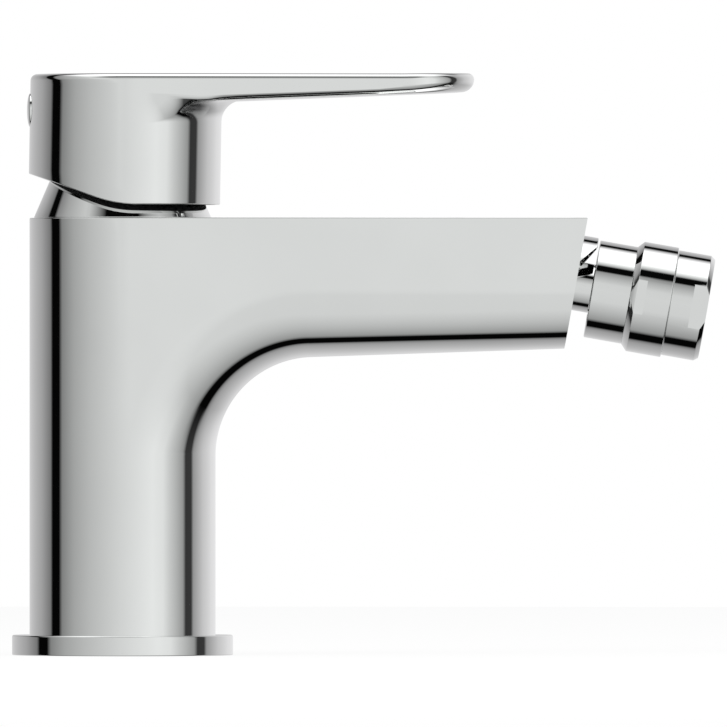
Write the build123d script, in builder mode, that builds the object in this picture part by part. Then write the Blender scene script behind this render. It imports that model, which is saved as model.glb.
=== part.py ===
from build123d import *
import os
from math import asin, atan, atan2, cos, degrees, hypot, radians, sin, sqrt, tan

os.makedirs("parts", exist_ok=True)

# Single-lever bidet mixer. Millimetres and degrees. Z is up, the deck is at zero, the column stands
# on the Z axis and the spout reaches along X.

# Fits
seat_gap = 0.05  # round a piece that is pushed or screwed into another
running_gap = 0.1  # round a piece that turns or slides in another
joint_line = 0.02  # by which one casting surface stands proud of the next where they run together
overrun = 2.0  # by which a cutting shape runs past what it cuts

# Column and its base
column_radius = 23.0
body_top = 108.8
spigot_step = 3.0
spigot_lift = 1.0
spigot_wall = 2.5
ring_margin = 4.5
ring_height = 5.0
ring_edge = 0.4
gasket_margin = 2.0
gasket_width = 4.0
gasket_thickness = 2.2

# Spout
spout_reach = 115.7  # top corner of the end face
spout_end_half_width = 13.165
face_tilt_angle = 10.0
elbow_height = 49.7  # where the column's front begins to turn outwards
elbow_radius = 24.1
underside_rise_angle = 1.92
elbow_round_share = 0.634  # of the largest round that the spout's width allows, after the elbow
end_round_share = 0.794  # the same at the spout's end
elbow_fade_share = 2.2  # power by which the round falls off through the elbow
elbow_steps = 8

# Waterways in the body
recess_depth = 42.0
class_inlet_x = -5.0
class_inlet_y = 8.0
hose_thread_radius = 4.5  # M10 x 1
hose_thread_length = 12.0
inlet_way_radius = 3.0
stud_x = 10.0
stud_thread_radius = 3.4  # M8
stud_thread_length = 15.0
class_outlet_x = 8.0
outlet_way_radius = 3.2
crossway_radius = 4.0
crossway_drop = 6.5  # below the chamber's floor
chamber_depth = 24.8
chamber_wall = 5.5
nut_thread_step = 1.5
nut_thread_depth = 7.3
spout_wall = 3.0
spout_floor_wall = 3.4
spout_roof = 3.5
hollow_start = 24.0
end_block = 18.7
hollow_round_share = 0.765  # of half the hollow's width at the spout's end
hollow_top_round = 2.0

# Ball joint at the end of the spout. Its axis is square to the spout's end face.
axis_drop = 17.16  # from the face's top corner, down the face
socket_bore_radius = 10.5
socket_bore_depth = 11.0
end_way_radius = 8.0
end_way_length = 7.5
ball_reach = 11.2  # from the end face to the ball's centre
ball_radius = 9.4
ball_front = 6.0  # from the ball's centre to its flat nose
neck_radius = 6.1
stem_way_radius = 3.6
shank_sink = 1.5
stem_seal_thickness = 2.0
hood_radius = 12.7
hood_reach = 3.8
hood_face_height = 6.2
hood_tip_height = 10.7
hood_hollow_radius = 14.2

# Swivelling outlet
seat_wall = 1.05  # plastic between the ball and the socket
socket_wall = 1.55
socket_thread_wall = 0.95
socket_back = 7.0  # from the ball's centre back to the socket's rear face
socket_mouth_radius = 8.7
shoulder_reach = 2.5  # from the ball's centre on to the socket's shoulder
socket_thread_length = 5.3
collar_slope_length = 1.5
collar_step = 1.6
collar_length = 10.2
collar_web_gap = 0.2
collar_web_thickness = 1.6
collar_way_radius = 7.5
collar_flat_length = 3.8
collar_flat_depth = 0.7
rear_seat_start_angle = 108.0
rear_seat_end_angle = 126.0
front_seat_start = 1.3  # from the ball's centre to the front seat's rear
front_seat_length = 6.6
seal_ring_radius = 0.8
seal_ring_angle = 62.0
aerator_thread_radius = 11.2
aerator_thread_length = 2.9
aerator_step = 0.6
aerator_length = 9.3
aerator_edge_length = 1.1
aerator_edge_step = 0.8
aerator_bore_radius = 10.2
aerator_lip_thickness = 1.7
aerator_lip_step = 0.6
aerator_flat_length = 4.0
aerator_flat_depth = 1.2
aerator_seam = 0.25
aerator_gasket_thickness = 1.5
regulator_thickness = 2.2
regulator_hole_radius = 0.9
regulator_circle_radius = 6.5
regulator_holes = 12
jet_radius = 0.9
jet_spacing = 2.6
jet_rings = 3
insert_web = 2.5
insert_wall = 1.2

# Cartridge, with its layers' thicknesses from the chamber's floor upwards. The sizes named after its
# class are for a 35 mm chamber and follow the radius of the chamber in the body.
class_chamber_radius = 17.5
cartridge_lift = 0.5
distributor_thickness = 8.0
disc_seat_depth = 2.0
class_port_radius = 3.2
port_sweep_angle = 34.0
class_kidney_radius = 2.2
class_seal_radius = 5.2
seal_height = 2.6
seal_edge = 0.6
class_pin_radius = 1.5
class_pin_circle_radius = 13.0
pin_depth = 2.5
class_fixed_disc_radius = 13.5
fixed_disc_thickness = 3.5
class_moving_disc_radius = 11.0
moving_disc_thickness = 3.45
class_mixing_radius = 6.5
mixing_depth = 1.5
disc_gap = 0.05
carrier_flange = 2.5
carrier_height = 5.5
class_carrier_boss_radius = 6.0
class_tip_radius = 2.8
tip_lift = 3.1  # above the moving disc
tip_gap = 0.35
class_disc_bore_radius = 14.3
flange_room = 1.0
shoulder_thickness = 2.0
class_housing_collar_wall = 3.1
carriage_room = 0.8
carriage_flange = 2.8
class_carriage_flange_radius = 11.3
class_carriage_radius = 9.0
class_carriage_room_radius = 9.2
housing_collar_height = 4.8
carriage_head = 6.0
pivot_lift = 3.0
pivot_radius = 1.5
pivot_gap = 0.05
class_neck_slot_half_width = 2.9
class_neck_slot_back = 3.2
class_neck_slot_front = 7.2
lift_angle = 20.0
class_stem_width = 8.0
stem_foot_drop = 5.0
stem_cover = 5.3  # from the stem's end to the lever's top
class_stem_neck_radius = 2.1
limiter_thickness = 3.0
class_limiter_radius = 13.5
class_limiter_window_radius = 11.1
limiter_stop_half_angle = 20.0
turn_angle = 50.0
turn_spare_angle = 1.0
nut_sink = 0.2
nut_head_height = 4.4
class_nut_across_flats = 32.0

# Cone cover and its slip ring
cone_margin = 0.9
cone_height = 11.7
cone_angle = 23.3
cone_wall = 1.2
class_cone_hole_radius = 10.5
slip_ring_margin = 2.3
slip_ring_wall = 1.05
slip_ring_height = 1.8

# Lever
boss_margin = 0.7  # outside the column
boss_x = 0.41
boss_gap = 3.3  # above the body's top
boss_lean_angle = 1.0
boss_wall = 2.3
boss_roof = 3.6
lever_height = 32.7
lever_edge = 1.7
arm_tip_radius = 17.5
arm_tip_x = 69.8
arm_thickness = 6.4  # where the arm leaves the boss
arm_rise_angle = 1.76
arm_edge = 2.5
root_round = 5.0
heel_x = 2.0
heel_rise_angle = 17.2
class_hub_radius = 9.0
hub_lift = 13.9
screw_depth = 9.2  # below the lever's top
screw_radius = 2.5
screw_drop = 1.5  # from the cap's seat
screw_socket_radius = 1.25
screw_socket_depth = 3.0
screw_boss_radius = 5.5
cap_radius = 4.25
cap_depth = 5.2
cap_dome = 0.75
cap_edge = 0.9


# Places worked out from those sizes

upright_angle = 90.0
back_angle = 180.0
ring_radius = column_radius + ring_margin
spigot_radius = column_radius - spigot_step
recess_radius = spigot_radius - spigot_wall
gasket_outer_radius = ring_radius - gasket_margin
gasket_inner_radius = gasket_outer_radius - gasket_width
recess_top = recess_depth
chamber_radius = column_radius - chamber_wall
class_share = chamber_radius / class_chamber_radius
chamber_floor = body_top - chamber_depth
nut_thread_radius = chamber_radius + nut_thread_step
crossway_height = chamber_floor - crossway_drop

# The spout's sides are tangent to the column, so its half width falls off from the column's radius.
spout_slant = asin(column_radius / hypot(spout_reach, spout_end_half_width))
spout_taper_angle = degrees(spout_slant - atan2(spout_end_half_width, spout_reach))
elbow_x = column_radius + elbow_radius
side_start = column_radius * sin(radians(spout_taper_angle))
side_slope = tan(radians(spout_taper_angle))
elbow_end = upright_angle - underside_rise_angle
underside_rise = (spout_reach - elbow_x) * tan(radians(underside_rise_angle))
spout_floor_height = elbow_height + elbow_radius + underside_rise + spout_floor_wall
hollow_end = spout_reach - end_block
side_reach = hypot(elbow_x - side_start, body_top - elbow_height) + overrun
face_out = Vector(cos(radians(face_tilt_angle)), 0, -sin(radians(face_tilt_angle)))
face_up = Vector(sin(radians(face_tilt_angle)), 0, cos(radians(face_tilt_angle)))
face_corner = Vector(spout_reach, 0, body_top)
face_plane = Plane(origin=face_corner, z_dir=face_out)

# The ball joint's axis is square to the end face. Its profiles are drawn with the station along it
# across the page and the radius up the page.
outlet_origin = face_corner - face_up * axis_drop
outlet_axis = Axis(outlet_origin, face_out)
outlet_profile = Plane(origin=outlet_origin, x_dir=face_out, z_dir=(0, -1, 0))

# Stations along that axis, from the end face
shank_seat = -shank_sink
shank_end = stem_seal_thickness - socket_bore_depth
ball_station = ball_reach
socket_rear = ball_station - socket_back
socket_shoulder = ball_station + shoulder_reach
socket_front = socket_shoulder + socket_thread_length
collar_start = socket_shoulder + collar_slope_length
collar_front = socket_shoulder + collar_length
collar_web = socket_front + collar_web_gap
front_seat_rear = ball_station + front_seat_start
front_seat_front = front_seat_rear + front_seat_length
aerator_rear = collar_front - aerator_thread_length
aerator_front = collar_front + aerator_length
aerator_edge_start = aerator_front - aerator_edge_length
aerator_lip = aerator_front - aerator_lip_thickness

# Radii about that axis
liner_radius = ball_radius + running_gap + seat_wall + running_gap
socket_radius = liner_radius + socket_wall
socket_thread_radius = liner_radius + socket_thread_wall
collar_radius = socket_radius + collar_step
collar_across_flats = 2 * (collar_radius - collar_flat_depth)
aerator_radius = collar_radius - aerator_step
aerator_edge_radius = aerator_radius - aerator_edge_step
aerator_across_flats = 2 * (aerator_radius - aerator_flat_depth)
aerator_mouth_radius = aerator_bore_radius - aerator_lip_step

# Plan of the cartridge and of what fits it, at the chamber's size
inlet_x = class_inlet_x * class_share
inlet_y = class_inlet_y * class_share
outlet_x = class_outlet_x * class_share
port_radius = class_port_radius * class_share
kidney_radius = class_kidney_radius * class_share
seal_radius = class_seal_radius * class_share
pin_radius = class_pin_radius * class_share
pin_circle_radius = class_pin_circle_radius * class_share
fixed_disc_radius = class_fixed_disc_radius * class_share
moving_disc_radius = class_moving_disc_radius * class_share
mixing_radius = class_mixing_radius * class_share
carrier_boss_radius = class_carrier_boss_radius * class_share
tip_radius = class_tip_radius * class_share
disc_bore_radius = class_disc_bore_radius * class_share
housing_collar_wall = class_housing_collar_wall * class_share
carriage_flange_radius = class_carriage_flange_radius * class_share
carriage_radius = class_carriage_radius * class_share
carriage_room_radius = class_carriage_room_radius * class_share
neck_slot_half_width = class_neck_slot_half_width * class_share
neck_slot_back = class_neck_slot_back * class_share
neck_slot_front = class_neck_slot_front * class_share
stem_width = class_stem_width * class_share
stem_neck_radius = class_stem_neck_radius * class_share
limiter_radius = class_limiter_radius * class_share
limiter_window_radius = class_limiter_window_radius * class_share
nut_across_flats = class_nut_across_flats * class_share
cone_hole_radius = class_cone_hole_radius * class_share
hub_radius = class_hub_radius * class_share

# Heights of the cartridge's layers, and its radii
cartridge_radius = chamber_radius - running_gap
base_height = chamber_floor + distributor_thickness
disc_seat_height = base_height - disc_seat_depth
fixed_disc_top = disc_seat_height + fixed_disc_thickness
moving_disc_top = fixed_disc_top + disc_gap + moving_disc_thickness
carrier_flange_top = moving_disc_top + carrier_flange
carrier_top = moving_disc_top + carrier_height
tip_height = moving_disc_top + tip_lift
disc_bore_top = carrier_flange_top + flange_room
shoulder_height = disc_bore_top + shoulder_thickness
carriage_floor = carrier_top + carriage_room
carriage_lip = carriage_floor + carriage_flange + running_gap
housing_top = carriage_lip + housing_collar_height
carriage_top = housing_top + carriage_head
pivot_height = housing_top + pivot_lift
stem_foot = pivot_height - stem_foot_drop
limiter_top = housing_top + limiter_thickness
collar_bore_radius = carriage_flange_radius + running_gap
collar_outer_radius = collar_bore_radius + housing_collar_wall
carriage_bore_radius = carriage_room_radius
nut_radius = nut_thread_radius - seat_gap
nut_thread_top = body_top - nut_sink
nut_top = nut_thread_top + nut_head_height
nut_bore_radius = collar_outer_radius + running_gap

# Heights and radii of the cone cover and the lever
cone_radius = column_radius - cone_margin
slip_ring_outer = cone_radius - slip_ring_margin
slip_ring_inner = slip_ring_outer - slip_ring_wall
cone_top = body_top + cone_height
boss_radius = column_radius + boss_margin
boss_bottom = body_top + boss_gap
lever_top = boss_bottom + lever_height
arm_height = lever_top - arm_thickness
stem_top = lever_top - stem_cover
hub_bottom = boss_bottom + hub_lift
screw_height = lever_top - screw_depth
cap_step = boss_radius - cap_depth
screw_end = cap_step - screw_drop

inlet_places = [(inlet_x, inlet_y), (inlet_x, -inlet_y)]
port_places = inlet_places + [(outlet_x, 0)]
pin_places = [(0, pin_circle_radius), (0, -pin_circle_radius)]


def outlet_plane(station):
    """Plane across the ball joint's axis, facing outwards, with its x to the object's left side."""
    return Plane(origin=outlet_origin + face_out * station, x_dir=(0, 1, 0), z_dir=face_out)


def half_width(x):
    """The spout's half width at a place along it, on the plane of its side."""
    return (column_radius - x * sin(radians(spout_taper_angle))) / cos(radians(spout_taper_angle))


def spout_outline(origin_x, turn, round_share, proud=0):
    """Section of the spout in a plane through the elbow's axis, turned up from level.

    Drawn with the object's width across the page and the distance from the elbow's axis up it. Each
    lower edge is one curve, from the side to the middle of the underside. A proud section stands out
    past the true one by that much.
    """
    slope = cos(radians(turn)) * side_slope
    root = sqrt(1 + slope**2)
    side_foot = half_width(origin_x) + proud
    foot_y = elbow_radius - proud
    full_round = (side_foot + slope * foot_y) / (root - slope)
    edge_round = full_round * round_share
    round_x = side_foot + slope * (foot_y + edge_round) - edge_round * root
    side_x = round_x + edge_round / root
    side_y = foot_y + edge_round - slope * edge_round / root
    pull = edge_round * tan(radians(upright_angle - degrees(atan(slope))) / 4) * 4 / 3
    top_x = side_foot + slope * side_reach
    for side in (1, -1):
        Line((side * top_x, side_reach), (side * side_x, side_y))
        Bezier(
            (side * side_x, side_y),
            (side * (side_x - pull * slope / root), side_y - pull / root),
            (side * (round_x + pull), foot_y),
            (0, foot_y),
        )
    Line((top_x, side_reach), (-top_x, side_reach))


def spout_plane(along, turn):
    """Plane of a spout section, shifted along the straight underside past the elbow."""
    shift = Vector(cos(radians(underside_rise_angle)), 0, sin(radians(underside_rise_angle))) * along
    origin = Vector(elbow_x, 0, elbow_height) + shift
    return Plane(origin=origin, x_dir=(0, 1, 0), z_dir=(sin(radians(turn)), 0, cos(radians(turn))))


def round_share_at(turn):
    """Share of the full round: all of it in the column, less as the elbow turns level."""
    return elbow_round_share + (1 - elbow_round_share) * (1 - turn / elbow_end) ** elbow_fade_share


# Body

with BuildPart() as spout:
    for step in range(elbow_steps + 1):
        turn = elbow_end * step / elbow_steps
        with BuildSketch(spout_plane(0, turn)):
            with BuildLine():
                spout_outline(elbow_x, turn, round_share_at(turn))
            make_face()
    loft()
    straight = spout_reach - elbow_x + overrun
    for along, round_share in ((0, elbow_round_share), (straight, end_round_share)):
        with BuildSketch(spout_plane(along, elbow_end)):
            with BuildLine():
                place = elbow_x + along * cos(radians(underside_rise_angle))
                spout_outline(place, elbow_end, round_share, joint_line)
            make_face()
    loft(ruled=True)
    split(bisect_by=Plane.YZ.offset(side_start), keep=Keep.TOP)
    split(bisect_by=Plane.XY.offset(body_top), keep=Keep.BOTTOM)
    split(bisect_by=face_plane, keep=Keep.BOTTOM)

with BuildPart() as body:
    with BuildSketch(Plane.XY.offset(ring_height)):
        Circle(column_radius - joint_line)
    extrude(amount=body_top - ring_height)
    add(spout.part)
    with BuildSketch(Plane.XY.offset(spigot_lift)):
        Circle(spigot_radius)
    extrude(amount=ring_height - spigot_lift)
    # Recess for the hoses and the stud
    with BuildSketch():
        Circle(recess_radius)
    extrude(amount=recess_top, mode=Mode.SUBTRACT)
    # Hose threads, their waterways and the stud's thread, all drilled up from the recess
    with BuildSketch(Plane.XY.offset(recess_top)):
        with Locations(*inlet_places):
            Circle(hose_thread_radius)
    extrude(amount=hose_thread_length, mode=Mode.SUBTRACT)
    with BuildSketch(Plane.XY.offset(recess_top)):
        with Locations(*inlet_places):
            Circle(inlet_way_radius)
    extrude(amount=chamber_floor - recess_top, mode=Mode.SUBTRACT)
    with BuildSketch(Plane.XY.offset(recess_top)):
        with Locations((stud_x, 0)):
            Circle(stud_thread_radius)
    extrude(amount=stud_thread_length, mode=Mode.SUBTRACT)
    # Cartridge chamber and the clamp nut's thread
    with BuildSketch(Plane.XY.offset(chamber_floor)):
        Circle(chamber_radius)
    extrude(amount=body_top - chamber_floor, mode=Mode.SUBTRACT)
    with BuildSketch(Plane.XY.offset(body_top - nut_thread_depth)):
        Circle(nut_thread_radius)
    extrude(amount=nut_thread_depth, mode=Mode.SUBTRACT)
    with BuildSketch(Plane.XY.offset(chamber_floor)):
        with Locations(*pin_places):
            Circle(pin_radius + seat_gap)
    extrude(amount=-pin_depth, mode=Mode.SUBTRACT)
    # Mixed water: down from the cartridge, across under the chamber, and through the hollow spout
    with BuildSketch(Plane.XY.offset(crossway_height)):
        with Locations((outlet_x, 0)):
            Circle(outlet_way_radius)
    extrude(amount=chamber_floor - crossway_height, mode=Mode.SUBTRACT)
    with BuildSketch(Plane.YZ.offset(outlet_x - crossway_radius)):
        with Locations((0, crossway_height)):
            Circle(crossway_radius)
    extrude(amount=hollow_start + 2 * crossway_radius - outlet_x + overrun, mode=Mode.SUBTRACT)
    hollow_round = (half_width(hollow_end) - spout_wall) * hollow_round_share
    for place in (hollow_start, hollow_end):
        with BuildSketch(Plane.YZ.offset(place)) as hollow:
            inner_width = 2 * (half_width(place) - spout_wall)
            inner_height = body_top - spout_roof - spout_floor_height
            with Locations((0, spout_floor_height)):
                Rectangle(inner_width, inner_height, align=(Align.CENTER, Align.MIN))
            fillet(hollow.vertices().group_by(Axis.Y)[0], radius=hollow_round)
            fillet(hollow.vertices().group_by(Axis.Y)[-1], radius=hollow_top_round)
    loft(ruled=True, mode=Mode.SUBTRACT)
    # Thread for the ball stem, in the end face
    with BuildSketch(outlet_plane(0)):
        Circle(socket_bore_radius)
    extrude(amount=-socket_bore_depth, mode=Mode.SUBTRACT)
    with BuildSketch(outlet_plane(-socket_bore_depth)):
        Circle(end_way_radius)
    extrude(amount=-end_way_length, mode=Mode.SUBTRACT)
body.part.label = "body"
export_step(body.part, "parts/body.step")

# Base

with BuildPart() as base_ring:
    with BuildSketch():
        Circle(ring_radius)
        Circle(spigot_radius + seat_gap, mode=Mode.SUBTRACT)
    extrude(amount=ring_height)
    chamfer(base_ring.edges().group_by(Axis.Z)[-1].sort_by(SortBy.RADIUS)[-1], length=ring_edge)
    with BuildSketch():
        Circle(gasket_outer_radius)
        Circle(gasket_inner_radius, mode=Mode.SUBTRACT)
    extrude(amount=gasket_thickness, mode=Mode.SUBTRACT)
base_ring.part.label = "base_ring"
export_step(base_ring.part, "parts/base_ring.step")

with BuildPart() as base_gasket:
    with BuildSketch():
        Circle(gasket_outer_radius - seat_gap)
        Circle(gasket_inner_radius + seat_gap, mode=Mode.SUBTRACT)
    extrude(amount=gasket_thickness)
base_gasket.part.label = "base_gasket"
export_step(base_gasket.part, "parts/base_gasket.step")

# Cartridge, from the chamber's floor upwards

with BuildPart() as inlet_seals:
    with BuildSketch(Plane.XY.offset(chamber_floor)):
        with Locations(*port_places):
            Circle(seal_radius)
            Circle(port_radius, mode=Mode.SUBTRACT)
    extrude(amount=seal_height)
    fillet(inlet_seals.edges().filter_by(GeomType.CIRCLE), radius=seal_edge)
inlet_seals.part.label = "inlet_seals"
export_step(inlet_seals.part, "parts/inlet_seals.step")

with BuildPart() as cartridge_base:
    with BuildSketch(Plane.XY.offset(chamber_floor + cartridge_lift)):
        Circle(cartridge_radius)
    extrude(amount=base_height - chamber_floor - cartridge_lift)
    with BuildSketch(Plane.XY.offset(chamber_floor + cartridge_lift - pin_depth)):
        with Locations(*pin_places):
            Circle(pin_radius)
    extrude(amount=pin_depth)
    with BuildSketch(Plane.XY.offset(disc_seat_height)):
        Circle(fixed_disc_radius + seat_gap)
    extrude(amount=base_height - disc_seat_height, mode=Mode.SUBTRACT)
    with BuildSketch(Plane.XY.offset(chamber_floor)):
        with Locations(*port_places):
            Circle(seal_radius + seat_gap)
    extrude(amount=seal_height, mode=Mode.SUBTRACT)
    with BuildSketch(Plane.XY.offset(chamber_floor)):
        with Locations(*port_places):
            Circle(port_radius)
    extrude(amount=base_height - chamber_floor, mode=Mode.SUBTRACT)
cartridge_base.part.label = "cartridge_base"
export_step(cartridge_base.part, "parts/cartridge_base.step")

port_circle = hypot(inlet_x, inlet_y)
port_angle = degrees(atan2(inlet_y, inlet_x))
with BuildPart() as fixed_disc:
    with BuildSketch(Plane.XY.offset(disc_seat_height)):
        Circle(fixed_disc_radius)
        for side in (1, -1):
            kidney_start = side * port_angle - port_sweep_angle / 2
            kidney = CenterArc((0, 0), port_circle, kidney_start, port_sweep_angle)
            SlotArc(kidney, 2 * kidney_radius, mode=Mode.SUBTRACT)
        with Locations((outlet_x, 0)):
            Circle(port_radius, mode=Mode.SUBTRACT)
    extrude(amount=fixed_disc_top - disc_seat_height)
fixed_disc.part.label = "fixed_disc"
export_step(fixed_disc.part, "parts/fixed_disc.step")

# The closed disc stands back by half of its travel, so that it runs evenly about the middle.
disc_travel = (pivot_height - tip_height) * radians(lift_angle)
disc_place = -disc_travel / 2
with BuildPart() as moving_disc:
    with BuildSketch(Plane.XY.offset(fixed_disc_top + disc_gap)):
        with Locations((disc_place, 0)):
            Circle(moving_disc_radius)
    extrude(amount=moving_disc_thickness)
    with BuildSketch(Plane.XY.offset(fixed_disc_top + disc_gap)):
        with Locations((disc_place, 0)):
            Circle(mixing_radius)
    extrude(amount=mixing_depth, mode=Mode.SUBTRACT)
moving_disc.part.label = "moving_disc"
export_step(moving_disc.part, "parts/moving_disc.step")

with BuildPart() as disc_carrier:
    with BuildSketch(Plane.XY.offset(moving_disc_top)):
        with Locations((disc_place, 0)):
            Circle(moving_disc_radius)
    extrude(amount=carrier_flange_top - moving_disc_top)
    with BuildSketch(Plane.XY.offset(moving_disc_top)):
        Circle(carrier_boss_radius)
    extrude(amount=carrier_top - moving_disc_top)
    with BuildSketch(Plane.XY.offset(moving_disc_top)):
        Circle(tip_radius + tip_gap)
    extrude(amount=carrier_top - moving_disc_top, mode=Mode.SUBTRACT)
disc_carrier.part.label = "disc_carrier"
export_step(disc_carrier.part, "parts/disc_carrier.step")

with BuildPart() as cartridge_housing:
    with BuildSketch(Plane.XZ):
        with BuildLine():
            Polyline(
                (disc_bore_radius, base_height),
                (cartridge_radius, base_height),
                (cartridge_radius, shoulder_height),
                (collar_outer_radius, shoulder_height),
                (collar_outer_radius, housing_top),
                (carriage_bore_radius, housing_top),
                (carriage_bore_radius, carriage_lip),
                (collar_bore_radius, carriage_lip),
                (collar_bore_radius, disc_bore_top),
                (disc_bore_radius, disc_bore_top),
                close=True,
            )
        make_face()
    revolve(axis=Axis.Z)
cartridge_housing.part.label = "cartridge_housing"
export_step(cartridge_housing.part, "parts/cartridge_housing.step")

window_half_angle = limiter_stop_half_angle + turn_angle + turn_spare_angle
with BuildPart() as stem_carriage:
    with BuildSketch(Plane.XY.offset(carriage_floor)):
        Circle(collar_bore_radius - running_gap)
    extrude(amount=carriage_lip - running_gap - carriage_floor)
    with BuildSketch(Plane.XY.offset(carriage_floor)):
        Circle(carriage_radius)
    extrude(amount=carriage_top - carriage_floor)
    # Stop lug, which swings in the limiter's window
    with BuildSketch(Plane.XY.offset(housing_top + running_gap)):
        with BuildLine():
            stop_arc = CenterArc(
                (0, 0),
                limiter_window_radius - running_gap,
                back_angle - limiter_stop_half_angle,
                2 * limiter_stop_half_angle,
            )
            Line(stop_arc @ 1, (0, 0))
            Line((0, 0), stop_arc @ 0)
        make_face()
    extrude(amount=limiter_top - housing_top - running_gap)
    # Fork for the stem, a slot for its neck below, and the pivot's bore
    with BuildSketch(Plane.XY.offset(carriage_lip)):
        Rectangle(2 * collar_outer_radius, stem_width + 2 * running_gap)
    extrude(amount=carriage_top - carriage_lip, mode=Mode.SUBTRACT)
    with BuildSketch(Plane.XY.offset(carriage_floor)):
        with Locations(((neck_slot_front - neck_slot_back) / 2, 0)):
            SlotOverall(neck_slot_front + neck_slot_back, 2 * neck_slot_half_width)
    extrude(amount=carriage_top - carriage_floor, mode=Mode.SUBTRACT)
    with BuildSketch(Plane.XZ):
        with Locations((0, pivot_height)):
            Circle(pivot_radius)
    extrude(amount=carriage_radius, both=True, mode=Mode.SUBTRACT)
stem_carriage.part.label = "stem_carriage"
export_step(stem_carriage.part, "parts/stem_carriage.step")

pin_half_length = sqrt(carriage_radius**2 - pivot_radius**2)
with BuildPart() as stem_pin:
    with BuildSketch(Plane.XZ):
        with Locations((0, pivot_height)):
            Circle(pivot_radius)
    extrude(amount=pin_half_length, both=True)
stem_pin.part.label = "stem_pin"
export_step(stem_pin.part, "parts/stem_pin.step")

with BuildPart() as lever_stem:
    with BuildSketch(Plane.XY.offset(stem_foot)):
        Rectangle(stem_width, stem_width)
    extrude(amount=stem_top - stem_foot)
    with BuildSketch(Plane.XY.offset(tip_height)):
        Circle(stem_neck_radius)
    extrude(amount=stem_foot - tip_height)
    with Locations((0, 0, tip_height)):
        Sphere(tip_radius)
    with BuildSketch(Plane.XZ):
        with Locations((0, pivot_height)):
            Circle(pivot_radius + pivot_gap)
    extrude(amount=stem_width, both=True, mode=Mode.SUBTRACT)
lever_stem.part.label = "lever_stem"
export_step(lever_stem.part, "parts/lever_stem.step")

with BuildPart() as temperature_limiter:
    with BuildSketch(Plane.XY.offset(housing_top)):
        Circle(limiter_radius)
        Circle(carriage_bore_radius + running_gap, mode=Mode.SUBTRACT)
        with BuildLine():
            window_arc = CenterArc(
                (0, 0), limiter_window_radius, back_angle - window_half_angle, 2 * window_half_angle
            )
            Line(window_arc @ 1, (0, 0))
            Line((0, 0), window_arc @ 0)
        make_face(mode=Mode.SUBTRACT)
    extrude(amount=limiter_top - housing_top)
temperature_limiter.part.label = "temperature_limiter"
export_step(temperature_limiter.part, "parts/temperature_limiter.step")

with BuildPart() as clamp_nut:
    with BuildSketch(Plane.XY.offset(shoulder_height)):
        Circle(nut_radius)
    extrude(amount=nut_thread_top - shoulder_height)
    with BuildSketch(Plane.XY.offset(nut_thread_top)):
        RegularPolygon(nut_across_flats / 2, 6, major_radius=False)
    extrude(amount=nut_top - nut_thread_top)
    with BuildSketch(Plane.XY.offset(shoulder_height)):
        Circle(nut_bore_radius)
    extrude(amount=nut_top - shoulder_height, mode=Mode.SUBTRACT)
clamp_nut.part.label = "clamp_nut"
export_step(clamp_nut.part, "parts/clamp_nut.step")

# Cone cover

cone_fall = tan(radians(cone_angle))
cone_top_radius = cone_radius - (cone_top - body_top) * cone_fall
cone_inset = cone_wall / cos(radians(cone_angle))
roof_height = cone_top - cone_wall
slip_ring_top = body_top + slip_ring_height
with BuildPart() as cone_cover:
    with BuildSketch(Plane.XZ):
        with BuildLine():
            Polyline(
                (slip_ring_outer, body_top),
                (cone_radius, body_top),
                (cone_top_radius, cone_top),
                (cone_hole_radius, cone_top),
                (cone_hole_radius, roof_height),
                (cone_radius - (roof_height - body_top) * cone_fall - cone_inset, roof_height),
                (cone_radius - slip_ring_height * cone_fall - cone_inset, slip_ring_top),
                (slip_ring_outer, slip_ring_top),
                close=True,
            )
        make_face()
    revolve(axis=Axis.Z)
cone_cover.part.label = "cone_cover"
export_step(cone_cover.part, "parts/cone_cover.step")

with BuildPart() as slip_ring:
    with BuildSketch(Plane.XY.offset(body_top)):
        Circle(slip_ring_outer - seat_gap)
        Circle(slip_ring_inner, mode=Mode.SUBTRACT)
    extrude(amount=slip_ring_height)
slip_ring.part.label = "slip_ring"
export_step(slip_ring.part, "parts/slip_ring.step")

# Lever. The boss leans a little towards the spout. The arm is a slab with rounded edges, and the
# boss, a cylinder that stands a hair inside the slab's heel, runs up into it.

boss_plane = Plane(
    origin=(boss_x, 0, boss_bottom),
    x_dir=(cos(radians(boss_lean_angle)), 0, -sin(radians(boss_lean_angle))),
    z_dir=(sin(radians(boss_lean_angle)), 0, cos(radians(boss_lean_angle))),
)
boss_axis = Axis(boss_plane.origin, boss_plane.z_dir)
arm_reach = arm_tip_x - boss_x - lever_height * tan(radians(boss_lean_angle))
arm_side_angle = degrees(asin((boss_radius - arm_tip_radius) / arm_reach))
underside = Plane(
    origin=(boss_x + boss_radius, 0, arm_height),
    z_dir=(-sin(radians(arm_rise_angle)), 0, cos(radians(arm_rise_angle))),
)


def arm_outline(inset):
    """Plan of the lever: the boss's circle and the tip's circle, with both tangents."""
    heel = boss_radius - inset
    tip = arm_tip_radius - inset
    rise = radians(upright_angle - arm_side_angle)
    heel_foot = (heel * cos(rise), heel * sin(rise))
    tip_foot = (arm_reach + tip * cos(rise), tip * sin(rise))
    Line(heel_foot, tip_foot)
    ThreePointArc(tip_foot, (arm_reach + tip, 0), (tip_foot[0], -tip_foot[1]))
    Line((tip_foot[0], -tip_foot[1]), (heel_foot[0], -heel_foot[1]))
    ThreePointArc((heel_foot[0], -heel_foot[1]), (-heel, 0), heel_foot)


with BuildPart() as arm_slab:
    with BuildSketch(boss_plane):
        with BuildLine():
            arm_outline(0)
        make_face()
    extrude(amount=lever_height + overrun)
    split(bisect_by=Plane.XY.offset(lever_top), keep=Keep.BOTTOM)
    split(bisect_by=underside, keep=Keep.TOP)
    fillet(arm_slab.faces().sort_by(Axis.Z)[-1].edges(), radius=lever_edge)
    fillet(arm_slab.faces().sort_by(Axis.Z)[0].edges(), radius=arm_edge)

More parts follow.
